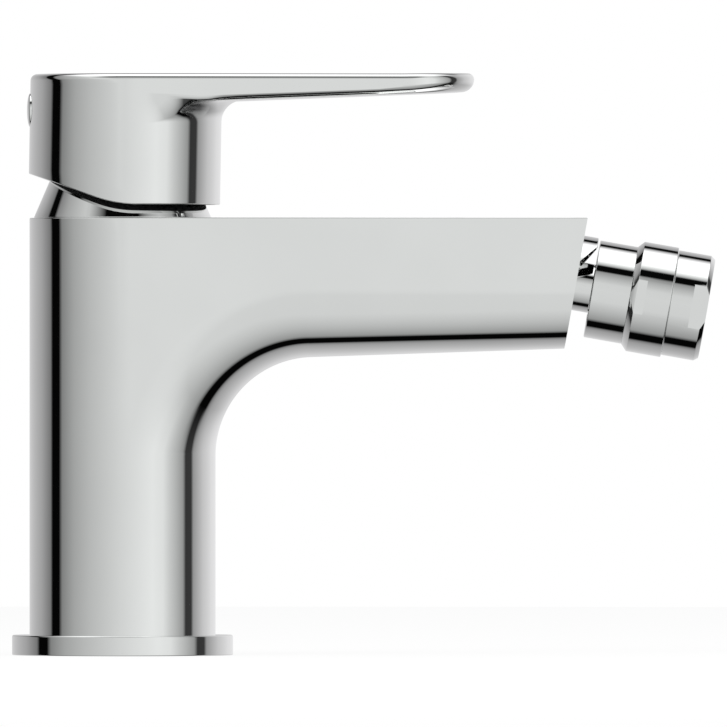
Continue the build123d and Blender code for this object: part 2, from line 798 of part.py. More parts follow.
# Flare where the boss meets the underside, trimmed to the arm's sides
with BuildPart() as root_flare:
    with BuildSketch(Plane(origin=boss_plane.origin, x_dir=boss_plane.x_dir, z_dir=(0, -1, 0))):
        flare_top = arm_height - boss_bottom
        with BuildLine():
            Line((boss_radius - overrun, flare_top - root_round),
                 (boss_radius, flare_top - root_round))
            RadiusArc((boss_radius, flare_top - root_round),
                      (boss_radius + root_round, flare_top), root_round)
            Polyline(
                (boss_radius + root_round, flare_top),
                (boss_radius + root_round, flare_top + overrun),
                (boss_radius - overrun, flare_top + overrun),
                (boss_radius - overrun, flare_top - root_round),
            )
        make_face()
    revolve(axis=boss_axis)
    with BuildSketch(boss_plane):
        with BuildLine():
            arm_outline(2 * joint_line)
        make_face()
    extrude(amount=lever_height, mode=Mode.INTERSECT)

with BuildPart() as lever_handle:
    with BuildSketch(boss_plane):
        Circle(boss_radius - joint_line)
    extrude(amount=lever_height - lever_edge - lever_edge / 2)
    add(arm_slab.part)
    add(root_flare.part)
    # Hollow under the boss, with a hub for the stem and a screw boss towards the back
    with BuildSketch(boss_plane.offset(-overrun)):
        Circle(boss_radius - boss_wall)
    extrude(amount=lever_height - boss_roof + overrun, mode=Mode.SUBTRACT)
    with BuildSketch(Plane.XY.offset(hub_bottom)):
        Circle(hub_radius)
    extrude(amount=lever_top - boss_roof / 2 - hub_bottom)
    with BuildSketch(Plane.YZ):
        with Locations((0, screw_height)):
            Circle(screw_boss_radius)
    extrude(amount=-(boss_radius - boss_x - boss_wall / 2))
    with BuildSketch(Plane.XY.offset(hub_bottom)):
        Rectangle(stem_width + 2 * seat_gap, stem_width + 2 * seat_gap)
    extrude(amount=stem_top - hub_bottom, mode=Mode.SUBTRACT)
    with BuildSketch(Plane.YZ):
        with Locations((0, screw_height)):
            Circle(screw_radius + seat_gap)
    extrude(amount=-cap_step, mode=Mode.SUBTRACT)
    with BuildSketch(Plane.YZ.offset(-cap_step)):
        with Locations((0, screw_height)):
            Circle(cap_radius + seat_gap)
    extrude(amount=-boss_radius, mode=Mode.SUBTRACT)
    # The heel's lower edge rises towards the back
    with BuildSketch(Plane.XZ):
        with BuildLine():
            back = -boss_radius - overrun
            Polyline(
                (heel_x, boss_bottom),
                (back, boss_bottom + (heel_x - back) * tan(radians(heel_rise_angle))),
                (back, boss_bottom - overrun),
                (boss_radius + overrun, boss_bottom - overrun),
                (boss_radius + overrun, boss_bottom),
                close=True,
            )
        make_face()
    extrude(amount=boss_radius + overrun, both=True, mode=Mode.SUBTRACT)
lever_handle.part.label = "lever_handle"
export_step(lever_handle.part, "parts/lever_handle.step")

with BuildPart() as lever_screw:
    with BuildSketch(Plane.YZ.offset(-stem_width / 2)):
        with Locations((0, screw_height)):
            Circle(screw_radius)
    extrude(amount=-(screw_end - stem_width / 2))
    with BuildSketch(Plane.YZ.offset(-screw_end)):
        with Locations((0, screw_height)):
            RegularPolygon(screw_socket_radius, 6, major_radius=False)
    extrude(amount=screw_socket_depth, mode=Mode.SUBTRACT)
lever_screw.part.label = "lever_screw"
export_step(lever_screw.part, "parts/lever_screw.step")

cap_lean = (screw_height - boss_bottom) * tan(radians(boss_lean_angle))
cap_face = boss_radius - boss_x - cap_lean
with BuildPart() as index_cap:
    with BuildSketch(Plane.YZ.offset(-cap_step)):
        with Locations((0, screw_height)):
            Circle(cap_radius)
    extrude(amount=-(cap_face + cap_dome - cap_step))
    fillet(index_cap.faces().sort_by(Axis.X)[0].edges(), radius=cap_edge)
index_cap.part.label = "index_cap"
export_step(index_cap.part, "parts/index_cap.step")

# Ball joint

with BuildPart() as stem_seal:
    with BuildSketch(outlet_plane(-socket_bore_depth)):
        Circle(socket_bore_radius - seat_gap)
        Circle(end_way_radius, mode=Mode.SUBTRACT)
    extrude(amount=socket_bore_depth + shank_end)
stem_seal.part.label = "stem_seal"
export_step(stem_seal.part, "parts/stem_seal.step")

with BuildPart() as ball_stem:
    with BuildSketch(outlet_plane(shank_end)):
        Circle(socket_bore_radius - seat_gap)
    extrude(amount=shank_seat - shank_end)
    with BuildSketch(outlet_plane(shank_end)):
        Circle(neck_radius)
    extrude(amount=ball_station - shank_end)
    with Locations(outlet_plane(ball_station)):
        Sphere(ball_radius)
    split(bisect_by=outlet_plane(ball_station + ball_front), keep=Keep.BOTTOM)
    with BuildSketch(outlet_plane(shank_end)):
        Circle(stem_way_radius)
    extrude(amount=ball_station + ball_front - shank_end, mode=Mode.SUBTRACT)
ball_stem.part.label = "ball_stem"
export_step(ball_stem.part, "parts/ball_stem.step")

# Horseshoe washer in the bore's mouth, with an eave that hides the top of the gap
with BuildPart() as swivel_hood:
    with BuildSketch(outlet_profile):
        with BuildLine():
            Polyline(
                (0, hood_face_height),
                (hood_reach, hood_tip_height),
                (hood_reach, hood_radius + overrun),
                (0, hood_radius + overrun),
                close=True,
            )
        make_face()
    extrude(amount=hood_radius, both=True)
    with BuildSketch(outlet_plane(0)):
        Circle(hood_radius)
    extrude(amount=hood_reach, mode=Mode.INTERSECT)
    with BuildSketch(outlet_plane(shank_seat)):
        Circle(socket_bore_radius - seat_gap)
    extrude(amount=-shank_seat)
    with BuildSketch(outlet_plane(shank_seat)):
        Circle(neck_radius + seat_gap)
        with Locations((0, -socket_bore_radius)):
            Rectangle(2 * (neck_radius + seat_gap), 2 * socket_bore_radius)
    extrude(amount=hood_reach - shank_seat, mode=Mode.SUBTRACT)
    with Locations(outlet_plane(ball_station)):
        Sphere(hood_hollow_radius, mode=Mode.SUBTRACT)
swivel_hood.part.label = "swivel_hood"
export_step(swivel_hood.part, "parts/swivel_hood.step")

seat_inner = ball_radius + running_gap
seat_outer = liner_radius - running_gap
with BuildPart() as rear_ball_seat:
    with BuildSketch(outlet_profile):
        with BuildLine():
            outer_arc = CenterArc((ball_station, 0), seat_outer, rear_seat_start_angle,
                                  rear_seat_end_angle - rear_seat_start_angle)
            inner_arc = CenterArc((ball_station, 0), seat_inner, rear_seat_start_angle,
                                  rear_seat_end_angle - rear_seat_start_angle)
            Line(outer_arc @ 0, inner_arc @ 0)
            Line(outer_arc @ 1, inner_arc @ 1)
        make_face()
    revolve(axis=outlet_axis)
rear_ball_seat.part.label = "rear_ball_seat"
export_step(rear_ball_seat.part, "parts/rear_ball_seat.step")

seal_ring_reach = seat_inner + seal_ring_radius - seat_gap
seal_ring_station = ball_station + seal_ring_reach * cos(radians(seal_ring_angle))
seal_ring_circle = seal_ring_reach * sin(radians(seal_ring_angle))
with BuildPart() as front_ball_seat:
    with BuildSketch(outlet_plane(front_seat_rear)):
        Circle(seat_outer)
        Circle(collar_way_radius, mode=Mode.SUBTRACT)
    extrude(amount=front_seat_front - front_seat_rear)
    with Locations(outlet_plane(ball_station)):
        Sphere(seat_inner, mode=Mode.SUBTRACT)
    with Locations(outlet_plane(seal_ring_station)):
        Torus(seal_ring_circle, seal_ring_radius, mode=Mode.SUBTRACT)
front_ball_seat.part.label = "front_ball_seat"
export_step(front_ball_seat.part, "parts/front_ball_seat.step")

with BuildPart() as seat_o_ring:
    with Locations(outlet_plane(seal_ring_station)):
        Torus(seal_ring_circle, seal_ring_radius)
seat_o_ring.part.label = "seat_o_ring"
export_step(seat_o_ring.part, "parts/seat_o_ring.step")

with BuildPart() as swivel_socket:
    with BuildSketch(outlet_profile):
        with BuildLine():
            Polyline(
                (socket_rear, 0),
                (socket_rear, socket_radius),
                (socket_shoulder, socket_radius),
                (socket_shoulder, socket_thread_radius),
                (socket_front, socket_thread_radius),
                (socket_front, 0),
                close=True,
            )
        make_face()
    revolve(axis=outlet_axis)
    with BuildSketch(outlet_plane(socket_rear)):
        Circle(socket_mouth_radius)
    extrude(amount=ball_station - socket_rear, mode=Mode.SUBTRACT)
    with BuildSketch(outlet_plane(ball_station)):
        Circle(liner_radius)
    extrude(amount=socket_front - ball_station, mode=Mode.SUBTRACT)
    with Locations(outlet_plane(ball_station)):
        Sphere(liner_radius, mode=Mode.SUBTRACT)
swivel_socket.part.label = "swivel_socket"
export_step(swivel_socket.part, "parts/swivel_socket.step")

with BuildPart() as swivel_collar:
    with BuildSketch(outlet_profile):
        with BuildLine():
            Polyline(
                (socket_shoulder, socket_thread_radius + seat_gap),
                (socket_shoulder, socket_radius),
                (collar_start, collar_radius),
                (collar_front - aerator_seam, collar_radius),
                (collar_front, collar_radius - aerator_seam),
                (collar_front, aerator_thread_radius),
                (collar_web + collar_web_thickness, aerator_thread_radius),
                (collar_web + collar_web_thickness, collar_way_radius),
                (collar_web, collar_way_radius),
                (collar_web, socket_thread_radius + seat_gap),
                close=True,
            )
        make_face()
    revolve(axis=outlet_axis)
    with BuildSketch(outlet_plane(socket_shoulder)):
        for side in (1, -1):
            with Locations((side * collar_radius, 0)):
                Rectangle(2 * collar_radius - collar_across_flats, 2 * collar_radius)
    extrude(amount=collar_flat_length, mode=Mode.SUBTRACT)
swivel_collar.part.label = "swivel_collar"
export_step(swivel_collar.part, "parts/swivel_collar.step")

with BuildPart() as aerator_housing:
    with BuildSketch(outlet_profile):
        with BuildLine():
            Polyline(
                (aerator_rear, aerator_bore_radius),
                (aerator_rear, aerator_thread_radius - seat_gap),
                (collar_front, aerator_thread_radius - seat_gap),
                (collar_front, aerator_radius - aerator_seam),
                (collar_front + aerator_seam, aerator_radius),
                (aerator_edge_start, aerator_radius),
                (aerator_front, aerator_edge_radius),
                (aerator_front, aerator_mouth_radius),
                (aerator_lip, aerator_mouth_radius),
                (aerator_lip, aerator_bore_radius),
                close=True,
            )
        make_face()
    revolve(axis=outlet_axis)
    with BuildSketch(outlet_plane(aerator_front)):
        for side in (1, -1):
            with Locations((side * aerator_radius, 0)):
                Rectangle(2 * aerator_radius - aerator_across_flats, 2 * aerator_radius)
    extrude(amount=-aerator_flat_length, mode=Mode.SUBTRACT)
aerator_housing.part.label = "aerator_housing"
export_step(aerator_housing.part, "parts/aerator_housing.step")

gasket_front = collar_web + collar_web_thickness + aerator_gasket_thickness
with BuildPart() as aerator_gasket:
    with BuildSketch(outlet_plane(collar_web + collar_web_thickness)):
        Circle(aerator_bore_radius - seat_gap)
        Circle(collar_way_radius, mode=Mode.SUBTRACT)
    extrude(amount=aerator_gasket_thickness)
aerator_gasket.part.label = "aerator_gasket"
export_step(aerator_gasket.part, "parts/aerator_gasket.step")

regulator_front = gasket_front + regulator_thickness
with BuildPart() as flow_regulator:
    with BuildSketch(outlet_plane(gasket_front)):
        Circle(aerator_bore_radius - seat_gap)
        with PolarLocations(regulator_circle_radius, regulator_holes):
            Circle(regulator_hole_radius, mode=Mode.SUBTRACT)
    extrude(amount=regulator_thickness)
flow_regulator.part.label = "flow_regulator"
export_step(flow_regulator.part, "parts/flow_regulator.step")

with BuildPart() as aerator_insert:
    with BuildSketch(outlet_plane(regulator_front)):
        Circle(aerator_bore_radius - seat_gap)
    extrude(amount=aerator_lip - regulator_front)
    with BuildSketch(outlet_plane(regulator_front)):
        Circle(aerator_bore_radius - insert_wall)
    extrude(amount=aerator_lip - regulator_front - insert_web, mode=Mode.SUBTRACT)
    with BuildSketch(outlet_plane(aerator_lip)):
        Circle(jet_radius)
        for ring in range(1, jet_rings + 1):
            with PolarLocations(ring * jet_spacing, 6 * ring):
                Circle(jet_radius)
    extrude(amount=-insert_web, mode=Mode.SUBTRACT)
aerator_insert.part.label = "aerator_insert"
export_step(aerator_insert.part, "parts/aerator_insert.step")
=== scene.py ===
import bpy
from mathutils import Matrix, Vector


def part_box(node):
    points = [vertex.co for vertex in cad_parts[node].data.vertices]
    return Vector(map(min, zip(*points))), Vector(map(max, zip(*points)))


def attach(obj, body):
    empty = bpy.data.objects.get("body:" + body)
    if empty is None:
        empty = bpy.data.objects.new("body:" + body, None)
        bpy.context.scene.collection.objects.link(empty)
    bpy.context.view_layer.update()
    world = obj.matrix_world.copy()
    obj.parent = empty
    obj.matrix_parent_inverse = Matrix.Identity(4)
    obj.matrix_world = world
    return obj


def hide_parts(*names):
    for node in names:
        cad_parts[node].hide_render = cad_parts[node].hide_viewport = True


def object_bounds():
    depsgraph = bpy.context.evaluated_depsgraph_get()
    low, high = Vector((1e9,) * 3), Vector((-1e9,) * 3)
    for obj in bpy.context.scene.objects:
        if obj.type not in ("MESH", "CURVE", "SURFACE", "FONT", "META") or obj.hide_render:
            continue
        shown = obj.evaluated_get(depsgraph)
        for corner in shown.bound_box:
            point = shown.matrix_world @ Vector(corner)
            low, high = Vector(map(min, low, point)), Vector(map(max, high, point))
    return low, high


bl_info = {
    "name": "Bidet mixer looks",
    "version": (1, 0, 0),
    "blender": (4, 5, 0),
    "location": "View3D > Sidebar > Bidet Mixer",
    "description": "Polished surfaces, finishes, studio and camera for a single-lever bidet mixer",
    "category": "Object",
}

from math import acos, asin, atan, atan2, cos, pi, radians, sin, sqrt, tan

import bmesh
import bpy
import numpy as np
from bpy.props import FloatProperty, FloatVectorProperty, PointerProperty
from bpy.types import Operator, Panel, PropertyGroup

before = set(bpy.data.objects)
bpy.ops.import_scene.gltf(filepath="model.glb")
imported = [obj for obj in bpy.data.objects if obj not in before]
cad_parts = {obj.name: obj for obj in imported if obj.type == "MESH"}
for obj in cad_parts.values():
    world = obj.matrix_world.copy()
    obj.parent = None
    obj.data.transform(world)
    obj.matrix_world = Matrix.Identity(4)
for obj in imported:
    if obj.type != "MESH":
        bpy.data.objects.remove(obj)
cad_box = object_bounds()

MM = 0.001
MERGE = 0.5e-6  # metres within which two points of a skin are one
CREASE = radians(32)  # angle over which an edge is drawn as a crease


def length(name, millimetres, description):
    """A length property, given in millimetres and kept in metres."""
    return FloatProperty(
        name=name, description=description, default=millimetres * MM, unit="LENGTH", precision=5
    )


def slant(name, degrees, description):
    """An angle property, given in degrees and kept in radians."""
    return FloatProperty(
        name=name, description=description, default=radians(degrees), subtype="ANGLE"
    )


def share(name, value, description):
    """A plain factor."""
    return FloatProperty(name=name, description=description, default=value, subtype="FACTOR")


def colour(name, value, description):
    """A colour in linear light."""
    return FloatVectorProperty(
        name=name, description=description, default=value, subtype="COLOR", min=0.0, max=1.0
    )


class MixerBodySizes(PropertyGroup):
    """Column, elbow, spout and base ring."""

    column_radius: length("Column radius", 23.15, "Radius of the upright column")
    foot: length("Foot", 5.0, "Height at which the column stands on its base ring")
    top: FloatProperty(
        name="Top",
        description="Height of the flat top of the body",
        default=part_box("body")[1].z,
        unit="LENGTH",
    )
    reach: length("Reach", 115.7, "How far the top corner of the end face is from the column's axis")
    taper: slant("Taper", 4.9, "Angle by which each side of the spout runs in, seen from above")
    face_tilt: slant("Face tilt", 10.0, "Lean of the spout's end face over the outlet")
    elbow_height: length("Elbow height", 49.6, "Height at which the column's front turns outwards")
    elbow_radius: length("Elbow radius", 24.57, "Radius of the turn under the spout")
    rise: slant("Rise", 1.92, "Rise of the spout's underside")
    elbow_round: share("Elbow round", 0.52, "Share of the largest round that the lower edges take")
    end_round: share("End round", 0.68, "The same at the spout's end")
    elbow_fade: share("Elbow fade", 2.2, "Power by which the round falls off through the elbow")
    elbow_side: share("Elbow side", 0.93, "How far the round reaches up the side, as a share")
    end_side: share("End side", 1.1, "The same at the spout's end")
    elbow_pull: share("Elbow pull", 1.37, "Pull of the round along the side, over an arc's")
    end_pull: share("End pull", 1.16, "The same at the spout's end")
    rim_round: length("Rim round", 0.25, "Round of the edge of the flat top")
    ring_radius: length("Ring radius", 27.5, "Radius of the base ring")
    ring_round: length("Ring round", 0.4, "Round of the upper edge of the base ring")
    chamber_mouth: length("Chamber mouth", 19.0, "Radius of the cartridge's chamber at the top")
    chamber_ledge: length("Chamber ledge", 101.5, "Height of the ledge in the chamber")
    chamber_radius: length("Chamber radius", 17.5, "Radius of the chamber under the ledge")
    chamber_floor: length("Chamber floor", 84.0, "Height of the chamber's floor")
    spigot_radius: length("Spigot radius", 20.0, "Radius of the spigot inside the base ring")
    spigot_foot: length("Spigot foot", 1.0, "Height of the spigot's underside")
    recess_radius: length("Recess radius", 17.5, "Radius of the hollow for the hoses")
    recess_roof: length("Recess roof", 42.0, "Height of that hollow's roof")


class MixerLeverSizes(PropertyGroup):
    """Lever, cone cover and index cap."""

    boss_radius: length("Boss radius", 23.86, "Radius of the lever's boss")
    boss_x: length("Boss place", 0.41, "Place of the boss's axis at its lower edge")
    boss_bottom: length("Boss bottom", 112.1, "Height of the boss's lower edge in front")
    boss_lean: slant("Boss lean", 1.0, "Lean of the boss towards the spout")
    boss_wall: length("Boss wall", 2.3, "Thickness of the boss's wall")
    boss_roof: length("Boss roof", 3.6, "Thickness of the lever over the boss's hollow")
    heel_x: length("Heel place", -1.5, "Place about which the lower edge turns up towards the back")
    heel_rise: slant("Heel rise", 19.2, "Rise of the lower edge behind that place")
    heel_blend: length("Heel blend", 5.5, "Distance each way over which it turns")
    top: length("Top", 144.8, "Height of the flat top of the lever")
    top_round: length("Top round", 1.6, "Round of the upper edge")
    tip_radius: length("Tip radius", 17.5, "Radius of the round end of the arm")
    tip_x: length("Tip place", 70.05, "Place of the centre of that round end, at the top")
    arm_height: length("Arm height", 137.87, "Height of the arm's underside where it leaves the boss")
    arm_rise: slant("Arm rise", 2.16, "Rise of the arm's underside towards its tip")
    arm_round: length("Arm round", 1.35, "Bevelled round of the arm's lower edge")
    arm_bevel: share("Arm bevel", 0.7, "How far that round nears a straight bevel")
    root_edge: length("Root edge", 2.5, "Round of the same edge where it leaves the boss")
    tip_edge: length("Tip edge", 3.0, "Round of the same edge at the tip")
    tip_rise: length("Tip rise", 0.22, "Rise of the flat top over the round tip")
    root_round: length("Root round", 5.0, "Hollow round under the arm, in front of the boss")
    flank_round: length("Flank round", 5.2, "The same round at the boss's flanks")
    flank_angle: slant("Flank angle", 53.0, "Bearing from the arm at which the flanks' round is full")
    cone_radius: length("Cone radius", 22.1, "Radius of the cone cover's foot")
    cone_top: length("Cone top", 120.5, "Height of the cone cover's top")
    cone_angle: slant("Cone angle", 23.3, "Lean of the cone cover's side")
    cap_height: length("Cap height", 135.6, "Height of the index cap's middle")
    cap_radius: length("Cap radius", 4.25, "Radius of the index cap")
    cap_dome: length("Cap dome", 0.75, "How far the index cap stands out")


class MixerOutletSizes(PropertyGroup):
    """Ball joint and outlet, with stations measured from the spout's end face along the axis."""

    drop: length("Drop", 17.16, "Distance of the axis below the end face's top corner")
    bore_radius: length("Bore radius", 10.5, "Radius of the bore in the end face")
    bore_depth: length("Bore depth", 11.0, "Depth of that bore")
    flange_radius: length("Flange radius", 10.45, "Radius of the stem's flange and its washer")
    washer: length("Washer", 1.5, "Thickness of the horseshoe washer in front of the flange")
    neck_radius: length("Neck radius", 6.1, "Radius of the ball's neck")
    ball_radius: length("Ball radius", 9.4, "Radius of the ball")
    ball_station: length("Ball station", 11.2, "Station of the ball's centre")
    hood_radius: length("Hood radius", 12.7, "Radius of the hood over the neck")
    hood_reach: length("Hood reach", 3.8, "How far the hood stands out")
    hood_face: length("Hood face height", 6.2, "Height of its lower edge at the end face")
    hood_tip: length("Hood tip height", 10.7, "Height of its lower edge in front")
    hood_hollow: length("Hood hollow", 14.2, "Radius of the hollow under it, round the ball's centre")
    socket_radius: length("Socket radius", 12.2, "Radius of the cup round the ball")
    collar_radius: length("Collar radius", 13.8, "Radius of the collar")
    collar_flats: length("Collar flats", 26.2, "Distance across the collar's flats")
    housing_radius: length("Housing radius", 13.2, "Radius of the aerator's housing")
    housing_flats: length("Housing flats", 24.0, "Distance across the housing's flats")
    housing_front: length("Housing front", 33.2, "Station of the housing's front")


class MixerFinish(PropertyGroup):
    """Colours and gloss of the visible finishes."""

    plate: colour("Plate", (0.93, 0.935, 0.93), "Reflectance of the polished plating")
    plate_gloss: share("Plate roughness", 0.035, "Roughness of the polished plating")
    casting: colour("Casting", (0.012, 0.012, 0.013), "Bare casting inside the lever")
    # Partly the bare casting's colour and partly painted shade: near black for the unlit hollow
    # inside the boss. The nooks' painted shade goes towards it too.
    brass: colour("Brass", (0.62, 0.42, 0.16), "Bare brass")
    steel: colour("Steel", (0.52, 0.52, 0.53), "Machined steel")
    ceramic: colour("Ceramic", (0.86, 0.84, 0.79), "Ground ceramic")
    white: colour("White plastic", (0.78, 0.78, 0.75), "Moulded white plastic")
    grey: colour("Grey plastic", (0.16, 0.165, 0.18), "Moulded grey plastic")
    red: colour("Red plastic", (0.52, 0.03, 0.025), "Moulded red plastic")
    rubber: colour("Rubber", (0.018, 0.018, 0.018), "Black rubber")


class MixerStage(PropertyGroup):
    """Floor, lamps and camera."""

    floor: colour("Floor", (0.9, 0.9, 0.9), "Pale floor")
    lamp_power: FloatProperty(
        name="Lamp power", description="Power of each soft lamp", default=9.0, unit="POWER"
    )
    camera_distance: length("Camera distance", 6000.0, "How far the camera stands off")
    camera_x: length("Camera place", 59.99, "Place along the spout that the camera faces")
    camera_height: length("Camera height", 72.56, "Height of the camera")
    frame_width: length("Frame width", 181.0, "Width of the picture at the object")


# Surfaces


def turn_frame(origin, axis, side):
    """Axis, first cross direction and second cross direction of a turned piece, as unit arrays."""
    axis = np.array(axis, float) / np.linalg.norm(axis)
    first = np.array(side, float)
    first = first - axis * first.dot(axis)
    first = first / np.linalg.norm(first)
    return np.array(origin, float), axis, first, np.cross(axis, first)


def upright():
    """Placing of a piece that is turned round the column's axis."""
    return turn_frame((0, 0, 0), (0, 0, 1), (1, 0, 0))


def rounded(corners):
    """Profile through the corners (station, radius, round), each rounded by an arc.

    An arc starts and ends at the round over the tangent of half the corner's angle from the corner,
    and its middle lies on the angle's bisector.
    """
    count = len(corners)
    part = np.linspace(0, 1, 6)[:, None]
    points = []
    for k in range(count):
        here = np.array(corners[k][:2], float)
        size = corners[k][2] if 0 < k < count - 1 else 0
        if not size:
            points.append(here)
            continue
        back = np.array(corners[k - 1][:2], float) - here
        ahead = np.array(corners[k + 1][:2], float) - here
        back /= np.linalg.norm(back)
        ahead /= np.linalg.norm(ahead)
        half = acos(np.clip(back.dot(ahead), -1, 1)) / 2
        bisector = (back + ahead) / np.linalg.norm(back + ahead)
        centre = here + bisector * size / sin(half)
        start = here + back * size / tan(half) - centre
        end = here + ahead * size / tan(half) - centre
        sweep = pi - 2 * half
        arc = (np.sin((1 - part) * sweep) * start + np.sin(part * sweep) * end) / sin(sweep)
        points.extend(centre + arc)
    return np.array(points)


def turned(profile, placing, columns=96, flat=None, band=None):
    """Grid of a turned surface: each profile point (station, radius) swept round the axis.

    With flats, each row keeps columns at the angles where its circle meets the flats, and the first
    cross distance is cut off at the half width across them.
    """
    origin, axis, first, second = placing
    station, radius = profile[:, 0], profile[:, 1]
    if flat is None:
        angle = np.linspace(0, 2 * pi, columns + 1)[None, :] * np.ones((len(profile), 1))
    else:
        quarter = columns // 4
        inner = np.linspace(-1, 1, quarter + 1)[:-1]
        outer = np.linspace(0, 1, quarter + 1)[:-1]
        edge = band[:, None]
        angle = np.concatenate(
            [
                edge * inner,
                edge + (pi - 2 * edge) * outer,
                pi + edge * inner,
                pi + edge + (pi - 2 * edge) * outer,
            ],
            axis=1,
        )
        angle = np.concatenate([angle, angle[:, :1] + 2 * pi], axis=1)
    across = radius[:, None] * np.cos(angle)
    up = radius[:, None] * np.sin(angle)
    if flat is not None:
        across = np.clip(across, -flat[:, None], flat[:, None])
    return (
        origin
        + station[:, None, None] * axis
        + across[:, :, None] * first
        + up[:, :, None] * second
    )


def skin(name, grids, material, body, nodes):
    """Mesh of the grids' quads, closed where their borders meet, with its faces outwards.

    Each grid is an array of rows, columns and coordinates. Points closer than the merging distance
    become one, so seams and poles close.
    """
    starts = np.cumsum([0] + [g.shape[0] * g.shape[1] for g in grids])
    points = np.concatenate([g.reshape(-1, 3) for g in grids])
    quads = []
    for grid, start in zip(grids, starts):
        rows, columns = grid.shape[:2]
        corner = (np.arange(rows - 1)[:, None] * columns + np.arange(columns - 1) + start).ravel()
        quads.append(np.stack([corner, corner + 1, corner + columns + 1, corner + columns], 1))
    quads = np.concatenate(quads)
    mesh = bpy.data.meshes.new(name)
    mesh.vertices.add(len(points))
    mesh.vertices.foreach_set("co", points.astype(np.float32).ravel())
    mesh.loops.add(quads.size)
    mesh.loops.foreach_set("vertex_index", quads.astype(np.int32).ravel())
    mesh.polygons.add(len(quads))
    mesh.polygons.foreach_set("loop_start", np.arange(0, quads.size, 4, dtype=np.int32))
    mesh.update(calc_edges=True)
    return finished(name, mesh, material, body, nodes)


def finished(name, mesh, material, body, nodes):
    """Merges, closes and smooths a mesh and makes its piece, which rides and replaces as told."""
    work = bmesh.new()
    work.from_mesh(mesh)
    bmesh.ops.remove_doubles(work, verts=work.verts, dist=MERGE)
    bmesh.ops.dissolve_degenerate(work, edges=work.edges, dist=MERGE)
    bmesh.ops.recalc_face_normals(work, faces=work.faces)
    if work.calc_volume(signed=True) < 0:
        bmesh.ops.reverse_faces(work, faces=work.faces)
    open_edges = [edge for edge in work.edges if len(edge.link_faces) != 2]
    if open_edges:
        place = [round(v / MM, 2) for v in open_edges[0].verts[0].co]
        raise RuntimeError(f"{name} has {len(open_edges)} open edges, one at {place}")
    work.to_mesh(mesh)
    work.free()
    mesh.shade_smooth()
    mesh.set_sharp_from_angle(angle=CREASE)
    mesh.materials.append(material)
    piece = bpy.data.objects.new(name, mesh)
    bpy.context.scene.collection.objects.link(piece)
    weighted = piece.modifiers.new("Face weighted normals", "WEIGHTED_NORMAL")
    weighted.keep_sharp = True
    weighted.weight = 80
    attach(piece, body)
    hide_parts(*nodes)
    return piece


def closed(rings):
    """Grid of closed rings, with each ring's first point repeated as its last."""
    grid = np.array(rings)
    return np.concatenate([grid, grid[:, :1]], 1)


# Shader maths


class Wire:
    """One output socket. Python's operators on it add Math nodes."""

    def __init__(self, graph, socket):
        self.graph = graph
        self.socket = socket

    def joined(self, operation, *values):
        node = self.graph.node("ShaderNodeMath", {"operation": operation}, dict(enumerate(values)))
        return Wire(self.graph, node.outputs[0])

    def __add__(self, other):
        return self.joined("ADD", self, other)

    def __radd__(self, other):
        return self.joined("ADD", other, self)

    def __sub__(self, other):
        return self.joined("SUBTRACT", self, other)

    def __rsub__(self, other):
        return self.joined("SUBTRACT", other, self)

    def __mul__(self, other):
        return self.joined("MULTIPLY", self, other)

    def __rmul__(self, other):
        return self.joined("MULTIPLY", other, self)

    def __truediv__(self, other):
        return self.joined("DIVIDE", self, other)

    def __rtruediv__(self, other):
        return self.joined("DIVIDE", other, self)

    def __pow__(self, other):
        return self.joined("POWER", self, other)

    def __lt__(self, other):
        return self.joined("LESS_THAN", self, other)

    def __gt__(self, other):
        return self.joined("GREATER_THAN", self, other)

    def at_least(self, other):
        return self.joined("MAXIMUM", self, other)

    def at_most(self, other):
        return self.joined("MINIMUM", self, other)


class Graph:
    """A node tree that is being filled."""

    def __init__(self, tree):
        self.tree = tree
        tree.nodes.clear()

    def node(self, kind, settings=None, sockets=None):
        """Adds a node: its settings first, a ramp's stops among them, then its sockets."""
        made = self.tree.nodes.new(kind)
        for key, value in (settings or {}).items():
            if key == "stops":
                ramp = made.color_ramp
                while len(ramp.elements) < len(value):
                    ramp.elements.new(0.5)
                for element, (position, light) in zip(ramp.elements, value):
                    element.position = position
                    element.color = (*light, 1)
            else:
                setattr(made, key, value)
        for key, value in (sockets or {}).items():
            if isinstance(value, Wire):
                self.tree.links.new(value.socket, made.inputs[key])
            else:
                made.inputs[key].default_value = value
        return made

    def out(self, kind, settings=None, sockets=None, output=0):
        """The same, but gives one output as a wire."""
        return Wire(self, self.node(kind, settings, sockets).outputs[output])

    def parts(self, vector):
        """The three values of a vector."""
        node = self.node("ShaderNodeSeparateXYZ", {}, {0: vector})
        return [Wire(self, socket) for socket in node.outputs]

    def mix(self, factor, first, second):
        """Colour between two others."""
        sockets = {0: factor, 6: first, 7: second}
        return self.out("ShaderNodeMix", {"data_type": "RGBA"}, sockets, 2)

    def spread(self, value, low, high, start=0.0, end=1.0):
        """The value carried from one range to another and held inside it."""
        sockets = {0: value, 1: low, 2: high, 3: start, 4: end}
        return self.out("ShaderNodeMapRange", {}, sockets)

    def noise(self, place, scale, detail=2.0, roughness=0.5):
        """Soft noise between 0 and 1."""
        sockets = {"Vector": place, "Scale": scale, "Detail": detail, "Roughness": roughness}
        return self.out("ShaderNodeTexNoise", {}, sockets)

    def bump(self, height, distance):
        """Normal bent by a height between 0 and 1 times the distance."""
        sockets = {"Height": height, "Distance": distance, "Strength": 1.0}
        return self.out("ShaderNodeBump", {}, sockets)


def tone(value, shift=1.0):
    """A colour moved lighter or darker, with its alpha."""
    return (*[min(1.0, part * shift) for part in value], 1)


def material(name, build):
    """A material whose surface is the shader that the build function makes."""
    made = bpy.data.materials.new(name)
    made.use_nodes = True
    graph = Graph(made.node_tree)
    place = graph.out("ShaderNodeTexCoord", {}, {}, "Object")
    shader = build(graph, place)
    graph.node("ShaderNodeOutputMaterial", {}, {"Surface": shader})
    return made


